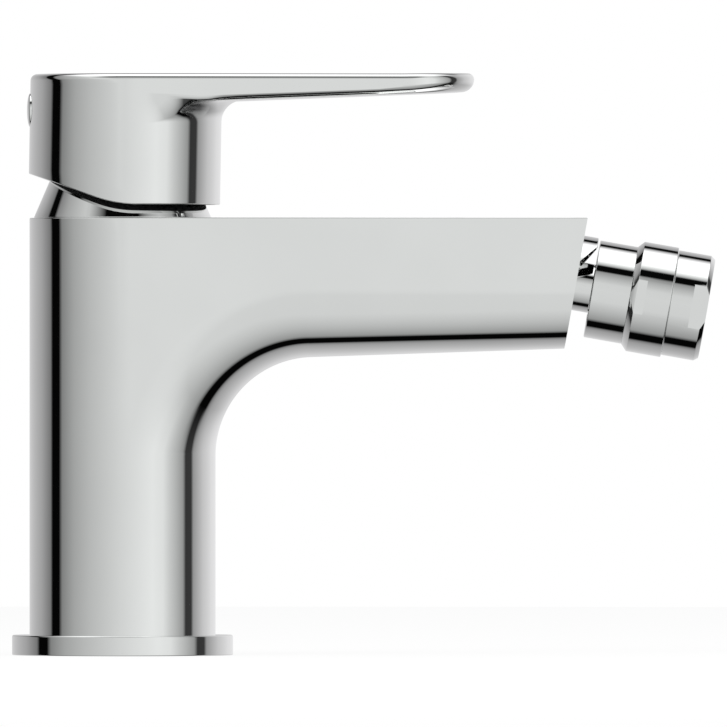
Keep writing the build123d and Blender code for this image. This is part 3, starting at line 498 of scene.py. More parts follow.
def plate_look(graph, place, finish):
    """Colour, roughness and normal of polished plate: faint polishing waves, a breath of haze."""
    cloud = graph.noise(place, scale=34.0, detail=3.0)
    haze = graph.noise(place, scale=420.0, detail=2.0, roughness=0.6)
    wave = graph.noise(place, scale=90.0, detail=1.0)
    dark, light = tone(finish.plate, 0.985), tone(finish.plate, 1.01)
    hue = graph.mix(graph.spread(cloud, 0.35, 0.65), dark, light)
    roughness = finish.plate_gloss + (haze - 0.5) * 0.02
    return hue, roughness, graph.bump(wave, distance=0.004 * MM)


def plated(name, finish):
    """Polished chrome plate: a mirror with the plate's look all over."""

    def build(graph, place):
        hue, roughness, normal = plate_look(graph, place, finish)
        sockets = {"Base Color": hue, "Metallic": 1.0, "Roughness": roughness, "Normal": normal}
        return graph.out("ShaderNodeBsdfPrincipled", {}, sockets)

    return material(name, build)


def nook_mask(graph, sizes, away, radial, inside, z):
    """How far a point lies in the nooks where the arm's edges run into the boss, where shade is
    painted and the plate is made rougher.

    It counts just outside the boss, between two distances along the arm, inside the arm's sides,
    and from a little below the arm's underside to a little above it.
    """
    first, full = 10.5 * MM, 14.5 * MM
    fading, last = 18.5 * MM, 23.0 * MM
    lowest, low, highest = 5.2 * MM, 3.6 * MM, 2.0 * MM
    side_edge, boss_edge = 0.3 * MM, 0.1 * MM
    mask = (z < sizes.arm_height + highest) * (inside > side_edge)
    mask = mask * graph.spread(radial, sizes.boss_radius + boss_edge, sizes.boss_radius + MM)
    mask = mask * graph.spread(away, first, full) ** 3.0
    mask = mask * graph.spread(away, fading, last, 1.0, 0.0)
    return mask * graph.spread(z, sizes.arm_height - lowest, sizes.arm_height - low)


def plated_outside(name, finish, sizes):
    """The lever's finish: plate outside, and dull bare casting inside the boss's hollow, near black
    as painted shade.

    In the nooks where the arm's edges run into the boss the plate is duller, and painted shade
    darkens it.
    """
    arm_lean = lever_reach(sizes)[1]
    skin_depth = 1.2 * MM
    roof_depth = 0.2 * MM
    # The first is painted shade: the share by which the nooks' colour goes to the near-black casting.
    # The others add roughness.
    nook_painted_shade, nook_dull, hollow_dull = 0.85, 0.12, 0.6

    def build(graph, place):
        x, y, z = graph.parts(place)
        away = x - sizes.boss_x - (z - sizes.boss_bottom) * tan(sizes.boss_lean)
        radial = (away * away + y * y) ** 0.5
        half_breadth = (sizes.boss_radius - away * sin(arm_lean)) / cos(arm_lean)
        inside = half_breadth - y.joined("ABSOLUTE", y)
        nook = nook_mask(graph, sizes, away, radial, inside, z)
        hollow = radial < sizes.boss_radius - sizes.boss_wall + skin_depth
        hollow = hollow * (z < sizes.top - sizes.boss_roof + roof_depth)
        hue, roughness, normal = plate_look(graph, place, finish)
        # Painted shade in the nooks: their colour goes most of the way to near black.
        hue = graph.mix(nook * nook_painted_shade, hue, tone(finish.casting))
        # Painted shade: the hollow inside the boss takes the near-black casting colour, which is bare
        # casting painted as if in shade.
        hue = graph.mix(hollow, hue, tone(finish.casting))
        roughness = roughness + hollow * hollow_dull + nook * nook_dull
        metal = 1.0 - hollow * 0.5
        sockets = {"Base Color": hue, "Metallic": metal, "Roughness": roughness, "Normal": normal}
        return graph.out("ShaderNodeBsdfPrincipled", {}, sockets)

    return material(name, build)


def machined(name, base, roughness, pitch):
    """Bare turned metal: fine tool rings round the upright axis, with dull and bright turns.

    The pitch of the rings is in millimetres.
    """

    def build(graph, place):
        x, y, z = graph.parts(place)
        ring = graph.out("ShaderNodeCombineXYZ", {}, {0: (x * x + y * y) ** 0.5, 1: 0.0, 2: z})
        turns = graph.noise(ring, scale=1 / (pitch * MM), detail=2.0, roughness=0.6)
        stain = graph.noise(place, scale=55.0, detail=3.0)
        hue = graph.mix(graph.spread(stain, 0.3, 0.7), tone(base, 0.86), tone(base, 1.06))
        gloss = roughness + (turns - 0.5) * 0.16
        normal = graph.bump(turns, distance=0.03 * MM)
        sockets = {"Base Color": hue, "Metallic": 1.0, "Roughness": gloss, "Normal": normal}
        return graph.out("ShaderNodeBsdfPrincipled", {}, sockets)

    return material(name, build)


def moulded(name, base, roughness, grain, depth, coat=0.0):
    """Moulded or ground surface: a fine even grain, with faint flow clouds in its colour.

    The size and depth of the grain are in millimetres.
    """

    def build(graph, place):
        flow = graph.noise(place, scale=42.0, detail=3.0)
        fine = graph.noise(place, scale=1 / (grain * MM), detail=2.0, roughness=0.7)
        hue = graph.mix(graph.spread(flow, 0.3, 0.7), tone(base, 0.9), tone(base, 1.05))
        gloss = roughness + (fine - 0.5) * 0.18
        normal = graph.bump(fine, depth * MM)
        sockets = {"Base Color": hue, "Roughness": gloss, "Normal": normal, "Coat Weight": coat}
        return graph.out("ShaderNodeBsdfPrincipled", {}, sockets)

    return material(name, build)


def chrome():
    """The plating that every bright piece shares."""
    found = bpy.data.materials.get("polished_plate")
    return found or plated("polished_plate", bpy.context.scene.mixer_finish)


# Body


def half_width(sizes, x):
    """The spout's half width on its side plane: the column's radius less the taper's share."""
    return (sizes.column_radius - x * sin(sizes.taper)) / cos(sizes.taper)


def side_section(sizes, turn, foot, part, top_distance, shares):
    """Half section of the spout, from its top to the middle of its underside.

    The section lies in a plane through the elbow's axis. Across it is the half width, which grows
    by the slope with the distance from that axis, and then a cubic curve that leaves the side along
    itself and reaches the middle of the underside level. The part runs from 0 to 1 along the side
    and from 1 to 2 along the curve. The shares are those that the curve takes of the largest round
    across and up the side, and of an arc's pull along the side, which is four thirds of the tangent
    of a quarter of the arc's turn. All are one for that round itself.
    """
    round_share, side_share, pull_share = shares
    slope = cos(turn) * tan(sizes.taper)
    root = sqrt(1 + slope**2)
    full = (foot + slope * sizes.elbow_radius) / (root - slope)
    edge = full * round_share
    round_x = foot + slope * (sizes.elbow_radius + edge) - edge * root
    rise = full * side_share * (1 - slope / root)
    start = np.array([foot + slope * (sizes.elbow_radius + rise), sizes.elbow_radius + rise])
    pull = tan((pi / 2 - atan(slope)) / 4) * 4 / 3
    second = start - pull * full * side_share * pull_share * np.array([slope, 1]) / root
    third = np.array([round_x + pull * edge, sizes.elbow_radius])
    end = np.array([0, sizes.elbow_radius])
    top = np.array([foot + slope * top_distance, top_distance])
    along = np.clip(part, 0, 1)[:, None]
    t = np.clip(part - 1, 0, 1)[:, None]
    side = top + (start - top) * along
    curve = (
        (1 - t) ** 3 * start
        + 3 * (1 - t) ** 2 * t * second
        + 3 * (1 - t) * t**2 * third
        + t**3 * end
    )
    return np.where(part[:, None] <= 1, side, curve)


def whole_section(half):
    """The half section with its mirror image: left side, underside, right side."""
    other = half[::-1][1:] * np.array([-1, 1])
    return np.concatenate([half, other])


def in_fan(section, origin, turn):
    """Section points placed in the plane that is turned up from level about the elbow's axis."""
    out = np.array([-cos(turn), 0, sin(turn)])
    return origin + section[:, :1] * np.array([0, 1, 0]) + section[:, 1:] * out


def mitred(loop):
    """Outward vectors of a closed plan loop: where both neighbouring edges move out by one."""
    edge = np.roll(loop, -1, 0) - loop
    edge /= np.linalg.norm(edge, axis=1)[:, None]
    normal = np.stack([edge[:, 1], -edge[:, 0]], 1)
    last = np.roll(normal, 1, 0)
    return (normal + last) / (1 + (normal * last).sum(1))[:, None]


def crest_height(sizes):
    """Height at which the body's upright sides meet the round of the flat top's rim."""
    return sizes.top - sizes.rim_round


def elbow_fan(sizes, part, elbow_shares):
    """Rows of the elbow, and how many of them end on the column's side.

    Each row is a whole section in a plane through the elbow's axis. The planes turn from level up
    to square to the spout's underside. A lower one runs out to the column's side, a higher one to the
    flat top. The shares of the round fade from one by a power of the turn that is left.
    """
    taper_x = sizes.column_radius * sin(sizes.taper)
    elbow_x = sizes.column_radius + sizes.elbow_radius
    climb = crest_height(sizes) - sizes.elbow_height
    end_turn = pi / 2 - sizes.rise
    switch = atan2(climb, elbow_x - taper_x)
    lower_turns = np.linspace(0, switch, 31)
    upper_turns = np.linspace(switch, end_turn, 25)[1:]
    elbow = np.array([elbow_x, 0, sizes.elbow_height])
    rows = []
    for turn in np.concatenate([lower_turns, upper_turns]):
        reach = climb / sin(turn) if turn >= switch else (elbow_x - taper_x) / cos(turn)
        fade = max(0, 1 - turn / end_turn) ** sizes.elbow_fade
        shares = elbow_shares + (1 - elbow_shares) * fade
        half = side_section(sizes, turn, half_width(sizes, elbow_x), part, reach, shares)
        rows.append(in_fan(whole_section(half), elbow, turn))
    return np.array(rows), len(lower_turns)


def straight_rows(sizes, part, elbow_shares, corner, face_out):
    """Rows of the straight spout: every column is a straight line, cut off by the end face."""
    elbow_x = sizes.column_radius + sizes.elbow_radius
    end_turn = pi / 2 - sizes.rise
    end_shares = np.array([sizes.end_round, sizes.end_side, sizes.end_pull])
    overrun = 2.0 * MM
    ends = []
    for along, shares in ((0.0, elbow_shares), (sizes.reach - elbow_x + overrun, end_shares)):
        x = elbow_x + along * cos(sizes.rise)
        z = sizes.elbow_height + along * sin(sizes.rise)
        top_distance = (crest_height(sizes) - z) / sin(end_turn)
        half = side_section(sizes, end_turn, half_width(sizes, x), part, top_distance, shares)
        ends.append(in_fan(whole_section(half), np.array([x, 0, z]), end_turn))
    run = ends[1] - ends[0]
    full = ((corner - ends[0]) @ face_out) / (run @ face_out)
    steps = np.linspace(0, 1, 17)[1:, None, None]
    return ends[0] + run * full[:, None] * steps


def stepped(loop, steps):
    """Rings on a loop's bearings from the upright axis, each at its own radius and height."""
    bearing = np.arctan2(loop[:, 1], loop[:, 0])
    spokes = np.stack([np.cos(bearing), np.sin(bearing), 0 * bearing], 1)
    return [spokes * radius + [0, 0, height] for radius, height in steps]


def top_grid(sizes, loop):
    """Flat top: its rounded rim, then inwards to the cartridge's chamber."""
    outward = mitred(loop[:, :2])
    rings = []
    for step in np.linspace(0, pi / 2, 5):
        ring = loop.copy()
        ring[:, :2] -= outward * sizes.rim_round * (1 - cos(step))
        ring[:, 2] = crest_height(sizes) + sizes.rim_round * sin(step)
        rings.append(ring)
    steps = [
        (sizes.chamber_mouth, sizes.top),
        (sizes.chamber_mouth, sizes.chamber_ledge),
        (sizes.chamber_radius, sizes.chamber_ledge),
        (sizes.chamber_radius, sizes.chamber_floor),
        (0, sizes.chamber_floor),
    ]
    return closed(rings + stepped(loop, steps))


def underside_grid(sizes, loop):
    """Underside of the column: the spigot, and the hollow for the hoses in it."""
    steps = [
        (sizes.spigot_radius, sizes.foot),
        (sizes.spigot_radius, sizes.spigot_foot),
        (sizes.recess_radius, sizes.spigot_foot),
        (sizes.recess_radius, sizes.recess_roof),
        (0, sizes.recess_roof),
    ]
    return closed([loop] + stepped(loop, steps))


def end_grid(outlet, loop, corner, face_out, face_up):
    """End face, with the bore that takes the ball's stem."""
    centre = corner - face_up * outlet.drop
    offset = loop - centre
    angle = np.arctan2(offset @ face_up, offset[:, 1])[:, None]
    spokes = np.cos(angle) * np.array([0, 1, 0]) + np.sin(angle) * face_up
    rings = [loop]
    for radius, depth in ((1, 0), (1, 1), (0, 1)):
        inward = centre - face_out * depth * outlet.bore_depth
        rings.append(inward + spokes * radius * outlet.bore_radius)
    return closed(rings)


def body_grids(sizes, outlet):
    """Column, elbow and spout as grids that share their borders."""
    part = np.concatenate([np.linspace(0, 1, 9)[:-1], np.linspace(1, 2, 41)])
    corner = np.array([sizes.reach, 0, sizes.top])
    face_out = np.array([cos(sizes.face_tilt), 0, -sin(sizes.face_tilt)])
    face_up = np.array([sin(sizes.face_tilt), 0, cos(sizes.face_tilt)])
    elbow_shares = np.array([sizes.elbow_round, sizes.elbow_side, sizes.elbow_pull])
    fan, fan_sides = elbow_fan(sizes, part, elbow_shares)
    heights = np.linspace(sizes.foot, sizes.elbow_height, 12)[:-1]
    column = np.repeat(fan[:1], len(heights), 0)
    column[:, :, 2] = heights[:, None]
    front = np.concatenate(
        [column, fan, straight_rows(sizes, part, elbow_shares, corner, face_out)]
    )

    # Back of the column, on the same heights as the front's border
    side_rows = len(heights) + fan_sides
    azimuth = np.linspace(pi / 2 - sizes.taper, 3 * pi / 2 + sizes.taper, 97)
    back = np.empty((side_rows, len(azimuth), 3))
    back[:, :, :2] = sizes.column_radius * np.stack([np.cos(azimuth), np.sin(azimuth)], 1)
    back[:, :, 2] = front[:side_rows, 0, 2][:, None]

    left = front[side_rows:, 0]
    right = front[side_rows:, -1]
    breadth = np.linspace(1, -1, 13)[1:-1, None]
    end_edge = (left[-1] + right[-1]) / 2 + (left[-1] - right[-1]) / 2 * breadth
    top = top_grid(sizes, np.concatenate([back[-1], right, end_edge[::-1], left[::-1]]))
    base = underside_grid(sizes, np.concatenate([back[0], front[0][::-1][1:-1]]))
    end = end_grid(outlet, np.concatenate([front[-1], end_edge[::-1]]), corner, face_out, face_up)
    return [front, back, top, base, end]


class MIXER_OT_body(Operator):
    """Column, elbow and flat spout in one polished skin"""

    bl_idname = "mixer.body"
    bl_label = "Body"

    def execute(self, context):
        grids = body_grids(context.scene.mixer_body, context.scene.mixer_outlet)
        skin("body_skin", grids, chrome(), "root", ["body"])
        return {"FINISHED"}


class MIXER_OT_base_ring(Operator):
    """Low round ring under the column"""

    bl_idname = "mixer.base_ring"
    bl_label = "Base ring"

    def execute(self, context):
        sizes = context.scene.mixer_body
        ring, top = sizes.ring_radius, sizes.foot
        hole = sizes.spigot_radius + 0.05 * MM
        groove_out, groove_in, groove_roof = 25.5 * MM, 21.5 * MM, 2.2 * MM
        foot_round = 0.25 * MM
        corners = [
            (top, hole, 0),
            (top, ring, sizes.ring_round),
            (0, ring, foot_round),
            (0, groove_out, 0),
            (groove_roof, groove_out, 0),
            (groove_roof, groove_in, 0),
            (0, groove_in, 0),
            (0, hole, 0),
            (top, hole, 0),
        ]
        grid = turned(rounded(corners), upright(), 128)
        skin("base_ring_skin", [grid], chrome(), "root", ["base_ring"])
        return {"FINISHED"}


# Lever and the cone under it


class MIXER_OT_cone_cover(Operator):
    """Conical sleeve between the body and the lever"""

    bl_idname = "mixer.cone_cover"
    bl_label = "Cone cover"

    def execute(self, context):
        sizes = context.scene.mixer_lever
        foot = context.scene.mixer_body.top
        fall = tan(sizes.cone_angle)
        wall = 1.2 * MM
        inset = wall / cos(sizes.cone_angle)
        lip = foot + 1.8 * MM
        roof = sizes.cone_top - wall
        seat, hole = 19.8 * MM, 10.5 * MM
        foot_round, top_round, hole_round = 0.15 * MM, 0.6 * MM, 0.2 * MM

        def outside(height):
            """Radius of the cone's outside at a height."""
            return sizes.cone_radius - (height - foot) * fall

        corners = [
            (foot, seat, 0),
            (foot, sizes.cone_radius, foot_round),
            (sizes.cone_top, outside(sizes.cone_top), top_round),
            (sizes.cone_top, hole, hole_round),
            (roof, hole, 0),
            (roof, outside(roof) - inset, 0),
            (lip, outside(lip) - inset, 0),
            (lip, seat, 0),
            (foot, seat, 0),
        ]
        grid = turned(rounded(corners), upright(), 128)
        skin("cone_cover_skin", [grid], chrome(), "root", ["cone_cover"])
        return {"FINISHED"}


def lever_reach(sizes):
    """Distance of the tip's centre from the boss's axis in plan, and how far each side leans in.

    The sides are tangents to both circles. The sine of their lean is the difference of the radii
    over the distance of the centres.
    """
    reach = sizes.tip_x - sizes.boss_x - (sizes.top - sizes.boss_bottom) * tan(sizes.boss_lean)
    return reach, asin((sizes.boss_radius - sizes.tip_radius) / reach)


def lever_plan(sizes):
    """Closed plan of the lever in the boss's plane: places, outward normals and the tip's centre.

    It runs round the heel's circle, along the tangent to the tip's circle, round that, and back.
    """
    reach, lean = lever_reach(sizes)
    open_angle = pi / 2 - lean
    heel = np.linspace(open_angle, 2 * pi - open_angle, 73)
    tip = np.linspace(-open_angle, open_angle, 49)
    heel_out = np.stack([np.cos(heel), np.sin(heel)], 1)
    tip_out = np.stack([np.cos(tip), np.sin(tip)], 1)
    heel_at = sizes.boss_radius * heel_out
    tip_at = sizes.tip_radius * tip_out + [reach, 0]
    part = np.linspace(0, 1, 65)[1:-1, None]
    right = heel_at[-1] + (tip_at[0] - heel_at[-1]) * part
    left = tip_at[-1] + (heel_at[0] - tip_at[-1]) * part
    at = np.concatenate([heel_at, right, tip_at, left, heel_at[:1]])
    ones = np.ones_like(part)
    out = np.concatenate([heel_out, ones * tip_out[0], tip_out, ones * tip_out[-1], heel_out[:1]])
    return at, out, reach


def lever_grid(sizes):
    """Skin of the lever: its profile carried along the plan.

    From the middle of the top the profile runs over the upper round, down the side, and under the
    arm to the boss. Under the arm it is a round edge, a straight run and a hollow round. Where the
    gap to the boss is less than both rounds, the straight run slants: its angle from upright is a
    right angle less twice the arctangent of one less the gap's share of the rounds. It goes on down
    the boss, round its lower edge and up inside. Away from the boss and the tip the round edge is
    drawn towards a bevel by a power of its sine and cosine, as in a superellipse.
    """
    tip_lead = 0.35  # share of the tip's radius before its centre at which its own edge begins
    bevel_gain = 3.0  # how fast the bevel comes on with the gap
    at, out, reach = lever_plan(sizes)
    distance = np.linalg.norm(at, axis=1)
    radial = at / distance[:, None]
    gap = distance - sizes.boss_radius
    gap[gap < MERGE] = 0
    flank = np.clip(np.abs(np.arctan2(at[:, 1], at[:, 0])) / sizes.flank_angle, 0, 1) ** 2
    hollow = sizes.root_round + (sizes.flank_round - sizes.root_round) * flank
    near = 1 - np.clip(gap / sizes.root_round, 0, 1)
    tipward = np.clip((at[:, 0] - reach) / sizes.tip_radius + tip_lead, 0, 1 + tip_lead)
    tipward /= 1 + tip_lead
    edge_round = sizes.arm_round + (sizes.root_edge - sizes.arm_round) * near
    edge_round += (sizes.tip_edge - sizes.arm_round) * tipward
    both = edge_round + hollow
    slant_angle = pi / 2 - 2 * np.arctan(1 - np.clip(gap / both, 0, 1))
    ease = np.clip(gap / both - 1, 0, 1)[:, None]
    inward = radial * (1 - ease) + out * ease
    inward /= np.linalg.norm(inward, axis=1)[:, None]
    bevel = np.clip(bevel_gain * (gap / both - 1), 0, 1) * (1 - tipward)
    power = 1 + sizes.arm_bevel * bevel

    def placed(plan, height):
        """Plan places in the boss's plane carried up along the boss's axis to a height."""
        up = height - sizes.boss_bottom + plan[:, 0] * sin(sizes.boss_lean)
        up = up / cos(sizes.boss_lean)
        x = sizes.boss_x + plan[:, 0] * cos(sizes.boss_lean) + up * sin(sizes.boss_lean)
        return np.stack([x, plan[:, 1], height + 0 * x], 1)

    def underside(plan):
        """Height of the arm's underside over a plan place."""
        x = plan[:, 0] - sizes.boss_radius
        return sizes.arm_height + x * tan(sizes.arm_rise)

    def crest(plan):
        """Height of the top over a plan place: level, and rising over the round tip."""
        ramp = np.clip((plan[:, 0] - reach) / sizes.tip_radius, 0, 1)
        return sizes.top - sizes.tip_rise * (1 - ramp)

    # Flat top from its middle line, its round, and the upright side
    rows = []
    spine = np.stack([np.clip(at[:, 0], 0, reach), 0 * at[:, 0]], 1)
    rows.append(placed(spine, crest(spine)))
    radius = sizes.top_round
    for step in np.linspace(0, pi / 2, 10):
        plan = at - out * radius * (1 - sin(step))
        rows.append(placed(plan, crest(plan) - radius * (1 - cos(step))))
    low = underside(at) + edge_round
    shoulder = crest(at) - radius
    for part in np.linspace(0, 1, 5)[1:-1]:
        rows.append(placed(at, shoulder + (low - shoulder) * part))

    # Round edge, slanting run and hollow round under the arm
    for part in np.linspace(0, 1, 17):
        turn = slant_angle * part
        plan = at - inward * (edge_round * (1 - np.cos(turn) ** power))[:, None]
        first_drop = edge_round * (1 - np.sin(turn) ** power)
        rows.append(placed(plan, underside(plan) + first_drop))
    first = plan
    boss = sizes.boss_radius * radial
    last = boss + radial * (hollow * (1 - np.cos(slant_angle)))[:, None]
    last_drop = -hollow * (1 - np.sin(slant_angle))
    for part in np.linspace(0, 1, 7)[1:-1]:
        plan = first + (last - first) * part
        drop = first_drop + (last_drop - first_drop) * part
        rows.append(placed(plan, underside(plan) + drop))
    for part in np.linspace(1, 0, 11):
        turn = slant_angle * part
        plan = boss + radial * (hollow * (1 - np.cos(turn)))[:, None]
        rows.append(placed(plan, underside(plan) - hollow * (1 - np.sin(turn))))
    foot = underside(boss) - hollow

    # Boss down to its lower edge, and the hollow inside it
    def cut(x):
        """Height of the boss's lower edge: a parabola between its level and its rising part."""
        blend = sizes.heel_blend
        behind = sizes.heel_x - x
        bend = np.clip(behind + blend, 0, 2 * blend) ** 2 / (4 * blend)
        return sizes.boss_bottom + (bend + np.maximum(behind - blend, 0)) * tan(sizes.heel_rise)

    lean = tan(sizes.boss_lean)
    lower = cut(placed(boss, foot)[:, 0] - (foot - sizes.boss_bottom) * lean)
    edge = 0.3 * MM
    for part in np.linspace(0, 1, 6)[1:-1]:
        rows.append(placed(boss, foot + (lower + edge - foot) * part))
    for step in np.linspace(0, pi / 2, 4):
        plan = boss - radial * edge * (1 - cos(step))
        rows.append(placed(plan, lower + edge * (1 - sin(step))))
    inner = sizes.boss_radius - sizes.boss_wall
    roof = sizes.top - sizes.boss_roof
    chamfer, chamfer_height = 1.1 * MM, 1.5 * MM
    rows.append(placed(radial * (inner + chamfer), lower))
    for radius, level in ((inner, lower + chamfer_height), (inner, roof), (0, roof)):
        rows.append(placed(radial * radius, level))
    return np.array(rows)


class MIXER_OT_lever(Operator):
    """Lever: boss and flat arm in one polished casting"""

    bl_idname = "mixer.lever"
    bl_label = "Lever"

    def execute(self, context):
        sizes = context.scene.mixer_lever
        finish = plated_outside("lever_plate", context.scene.mixer_finish, sizes)
        skin("lever_skin", [lever_grid(sizes)], finish, "lever", ["lever_handle"])
        return {"FINISHED"}


class MIXER_OT_index_cap(Operator):
    """Small domed plug over the lever's screw"""

    bl_idname = "mixer.index_cap"
    bl_label = "Index cap"

    def execute(self, context):
        sizes = context.scene.mixer_lever
        lean = (sizes.cap_height - sizes.boss_bottom) * tan(sizes.boss_lean)
        face = sizes.boss_radius - sizes.boss_x - lean
        root, sunk = 18.5 * MM, 0.1 * MM
        rim = sizes.cap_radius
        turn = np.linspace(0, pi / 2, 10)
        height = face - sunk + (sizes.cap_dome + sunk) * np.sin(turn)
        dome = np.stack([height, rim * np.cos(turn)], 1)
        profile = np.concatenate([[(root, 0), (root, rim)], dome])
        placing = turn_frame((0, 0, sizes.cap_height), (-1, 0, 0), (0, 1, 0))
        grid = turned(profile, placing, 64)
        skin("index_cap_skin", [grid], chrome(), "lever", ["index_cap"])
        return {"FINISHED"}


# Ball joint and outlet


def outlet_placing(context):
    """Origin on the spout's end face, axis out of it, and the cross direction to the left."""
    body, outlet = context.scene.mixer_body, context.scene.mixer_outlet
    up = np.array([sin(body.face_tilt), 0, cos(body.face_tilt)])
    origin = np.array([body.reach, 0, body.top]) - up * outlet.drop
    return turn_frame(origin, (cos(body.face_tilt), 0, -sin(body.face_tilt)), (0, 1, 0))


def hood_grids(sizes, placing):
    """Eave over the neck and the horseshoe washer that holds it in the bore.

    At each station the eave is the part of a ring between two radial cuts. The ring's inner radius
    is the cross distance of a ball round the joint's centre. The cuts are where its outer circle
    meets a slanting plane, at the arccosine of the plane's height over the circle's radius.
    """
    origin, axis, side, upward = placing

    def spot(station, across, up):
        """Places from stations and cross distances to the left and up."""
        place = origin + station[..., None] * axis + across[..., None] * side
        return place + up[..., None] * upward

    # Eave
    rim = 0.2 * MM
    along = np.concatenate([np.linspace(0, sizes.hood_reach - rim, 9), [sizes.hood_reach]])
    plane = sizes.hood_face + (sizes.hood_tip - sizes.hood_face) * along / sizes.hood_reach
    wide = np.full(len(along), sizes.hood_radius)
    wide[-1] -= rim
    narrow = np.sqrt(sizes.hood_hollow**2 - (sizes.ball_station - along) ** 2)
    cuts = np.arccos(plane / wide)

    def there_and_back(outside, inside):
        """Values along the outside, back along the inside, and the first again."""
        return np.concatenate([outside, inside[::-1], outside[:1]])[:, None]

    bearing = there_and_back(cuts, cuts) * np.linspace(-1, 1, 49)
    station = there_and_back(along, along) + 0 * bearing
    radius = there_and_back(wide, narrow)
    shell = spot(station, radius * np.sin(bearing), radius * np.cos(bearing))
    count = len(along)
    back = shell[count:2 * count][::-1]
    ends = [np.stack([shell[:count, k], back[:, k]], 1) for k in (0, -1)]

    # Horseshoe washer, open downwards
    slot = sizes.neck_radius + 0.05 * MM
    open_angle = pi - asin(slot / sizes.flange_radius)
    bearing = np.linspace(-open_angle, open_angle, 61)
    outside = sizes.flange_radius * np.stack([np.sin(bearing), np.cos(bearing)], 1)
    turn = np.clip(bearing, -pi / 2, pi / 2)
    inside = slot * np.stack([np.sin(turn), np.cos(turn)], 1)
    inside[:, 1] = np.where(np.abs(bearing) > pi / 2, outside[:, 1], inside[:, 1])
    rear = -sizes.washer
    loop = [(rear, outside), (0, outside), (0, inside), (rear, inside), (rear, outside)]
    level = np.ones(len(bearing))
    plate = np.array([spot(level * place, edge[:, 0], edge[:, 1]) for place, edge in loop])
    return [shell, *ends, plate]


class MIXER_OT_neck(Operator):
    """Neck and ball, and the hood over them"""

    bl_idname = "mixer.neck"
    bl_label = "Neck and hood"

    def execute(self, context):
        sizes = context.scene.mixer_outlet
        placing = outlet_placing(context)
        nose = 6.0 * MM  # from the ball's centre to its flat front
        water, root, neck_round = 3.6 * MM, -9.0 * MM, 0.4 * MM
        meet = asin(sizes.neck_radius / sizes.ball_radius)
        arc = np.linspace(pi - meet, acos(nose / sizes.ball_radius), 40)
        ball = sizes.ball_radius * np.stack([np.cos(arc), np.sin(arc)], 1)
        ball[:, 0] += sizes.ball_station
        corners = [
            (root, water, 0),
            (root, sizes.flange_radius, 0),
            (-sizes.washer, sizes.flange_radius, 0),
            (-sizes.washer, sizes.neck_radius, neck_round),
            tuple(ball[0]) + (0,),
        ]
        ending = [(sizes.ball_station + nose, water), (root, water)]
        profile = np.concatenate([rounded(corners), ball[1:], ending])
        grid = turned(profile, placing, 96)
        skin("ball_stem_skin", [grid], chrome(), "root", ["ball_stem"])
        grids = hood_grids(sizes, placing)
        skin("swivel_hood_skin", grids, chrome(), "root", ["swivel_hood"])
        return {"FINISHED"}


class MIXER_OT_outlet(Operator):
    """Cup, collar and aerator housing"""

    bl_idname = "mixer.outlet"
    bl_label = "Outlet"

    thread = 11.6 * MM  # radius of the cup's thread inside the collar
    slack = 0.05 * MM  # by which a thread's bore is wider
    seam = 0.25 * MM  # round beside the seam between two rings
    lip = 0.1 * MM  # round where the cup runs into the collar
    collar_rear = 13.7 * MM
    collar_front = 23.9 * MM

    def execute(self, context):
        sizes = context.scene.mixer_outlet
        placing = outlet_placing(context)
        for label, node, grid in (
            ("swivel_socket_skin", "swivel_socket", self.cup(sizes, placing)),
            ("swivel_collar_skin", "swivel_collar", self.collar(sizes, placing)),
            ("aerator_skin", "aerator_housing", self.housing(sizes, placing)),
        ):
            skin(label, [grid], chrome(), "outlet", [node])
        return {"FINISHED"}

    def cup(self, sizes, placing):
        """Cup round the ball, hollowed to a larger ball that holds the seats."""
        rear, front = 4.2 * MM, 19.0 * MM
        hollow, mouth = 10.65 * MM, 8.7 * MM
        turn = np.linspace(pi - asin(mouth / hollow), pi / 2, 12)
        inside = hollow * np.stack([np.cos(turn), np.sin(turn)], 1) + [sizes.ball_station, 0]
        corners = [
            (rear, mouth, 0),
            (rear, sizes.socket_radius, self.seam),
            (self.collar_rear, sizes.socket_radius, self.lip),
            (self.collar_rear, self.thread, 0),
            (front, self.thread, 0),
            (front, hollow, 0),
        ]
        profile = np.concatenate([rounded(corners), inside[::-1], [(rear, mouth)]])
        return turned(profile, placing, 128)

    def collar(self, sizes, placing):
        """Collar with two flats, screwed over the cup, with a web that holds the front seat."""
        radius = sizes.collar_radius
        bore = self.thread + self.slack
        cone_end, cone_round, flats_end = 15.2 * MM, 0.15 * MM, 17.5 * MM
        web_rear, web_front, web_hole = 19.2 * MM, 20.8 * MM, 7.5 * MM
        nozzle_bore = 11.2 * MM
        rear = [
            (self.collar_rear, bore, 0),
            (self.collar_rear, sizes.socket_radius, self.lip),
            (cone_end, radius, cone_round),
            (flats_end, radius, 0),
        ]
        front = [
            (flats_end, radius, 0),
            (self.collar_front, radius, self.seam),
            (self.collar_front, nozzle_bore, 0),
            (web_front, nozzle_bore, 0),
            (web_front, web_hole, 0),
            (web_rear, web_hole, 0),
            (web_rear, bore, 0),
            (self.collar_rear, bore, 0),
        ]
        return flatted(rounded(rear), rounded(front), sizes.collar_flats / 2, placing)

    def housing(self, sizes, placing):
        """Aerator's housing with two flats, screwed into the collar."""
        radius, end = sizes.housing_radius, sizes.housing_front
        start = end - 4.0 * MM  # where its flats begin
        root, bevel = 21.0 * MM, 32.1 * MM
        spigot, bore = 11.15 * MM, 10.2 * MM
        face, face_round = 12.4 * MM, 0.3 * MM
        mouth, mouth_round, mouth_depth = 9.6 * MM, 0.2 * MM, 31.5 * MM
        rear = [
            (root, bore, 0),
            (root, spigot, 0),
            (self.collar_front, spigot, 0),
            (self.collar_front, radius, self.seam),
            (start, radius, 0),
        ]
        front = [
            (start, radius, 0),
            (bevel, radius, face_round),
            (end, face, face_round),
            (end, mouth, mouth_round),
            (mouth_depth, mouth, 0),
            (mouth_depth, bore, 0),
            (root, bore, 0),
        ]
        flat = sizes.housing_flats / 2
        return flatted(rounded(front), rounded(rear), flat, placing, rear_first=True)


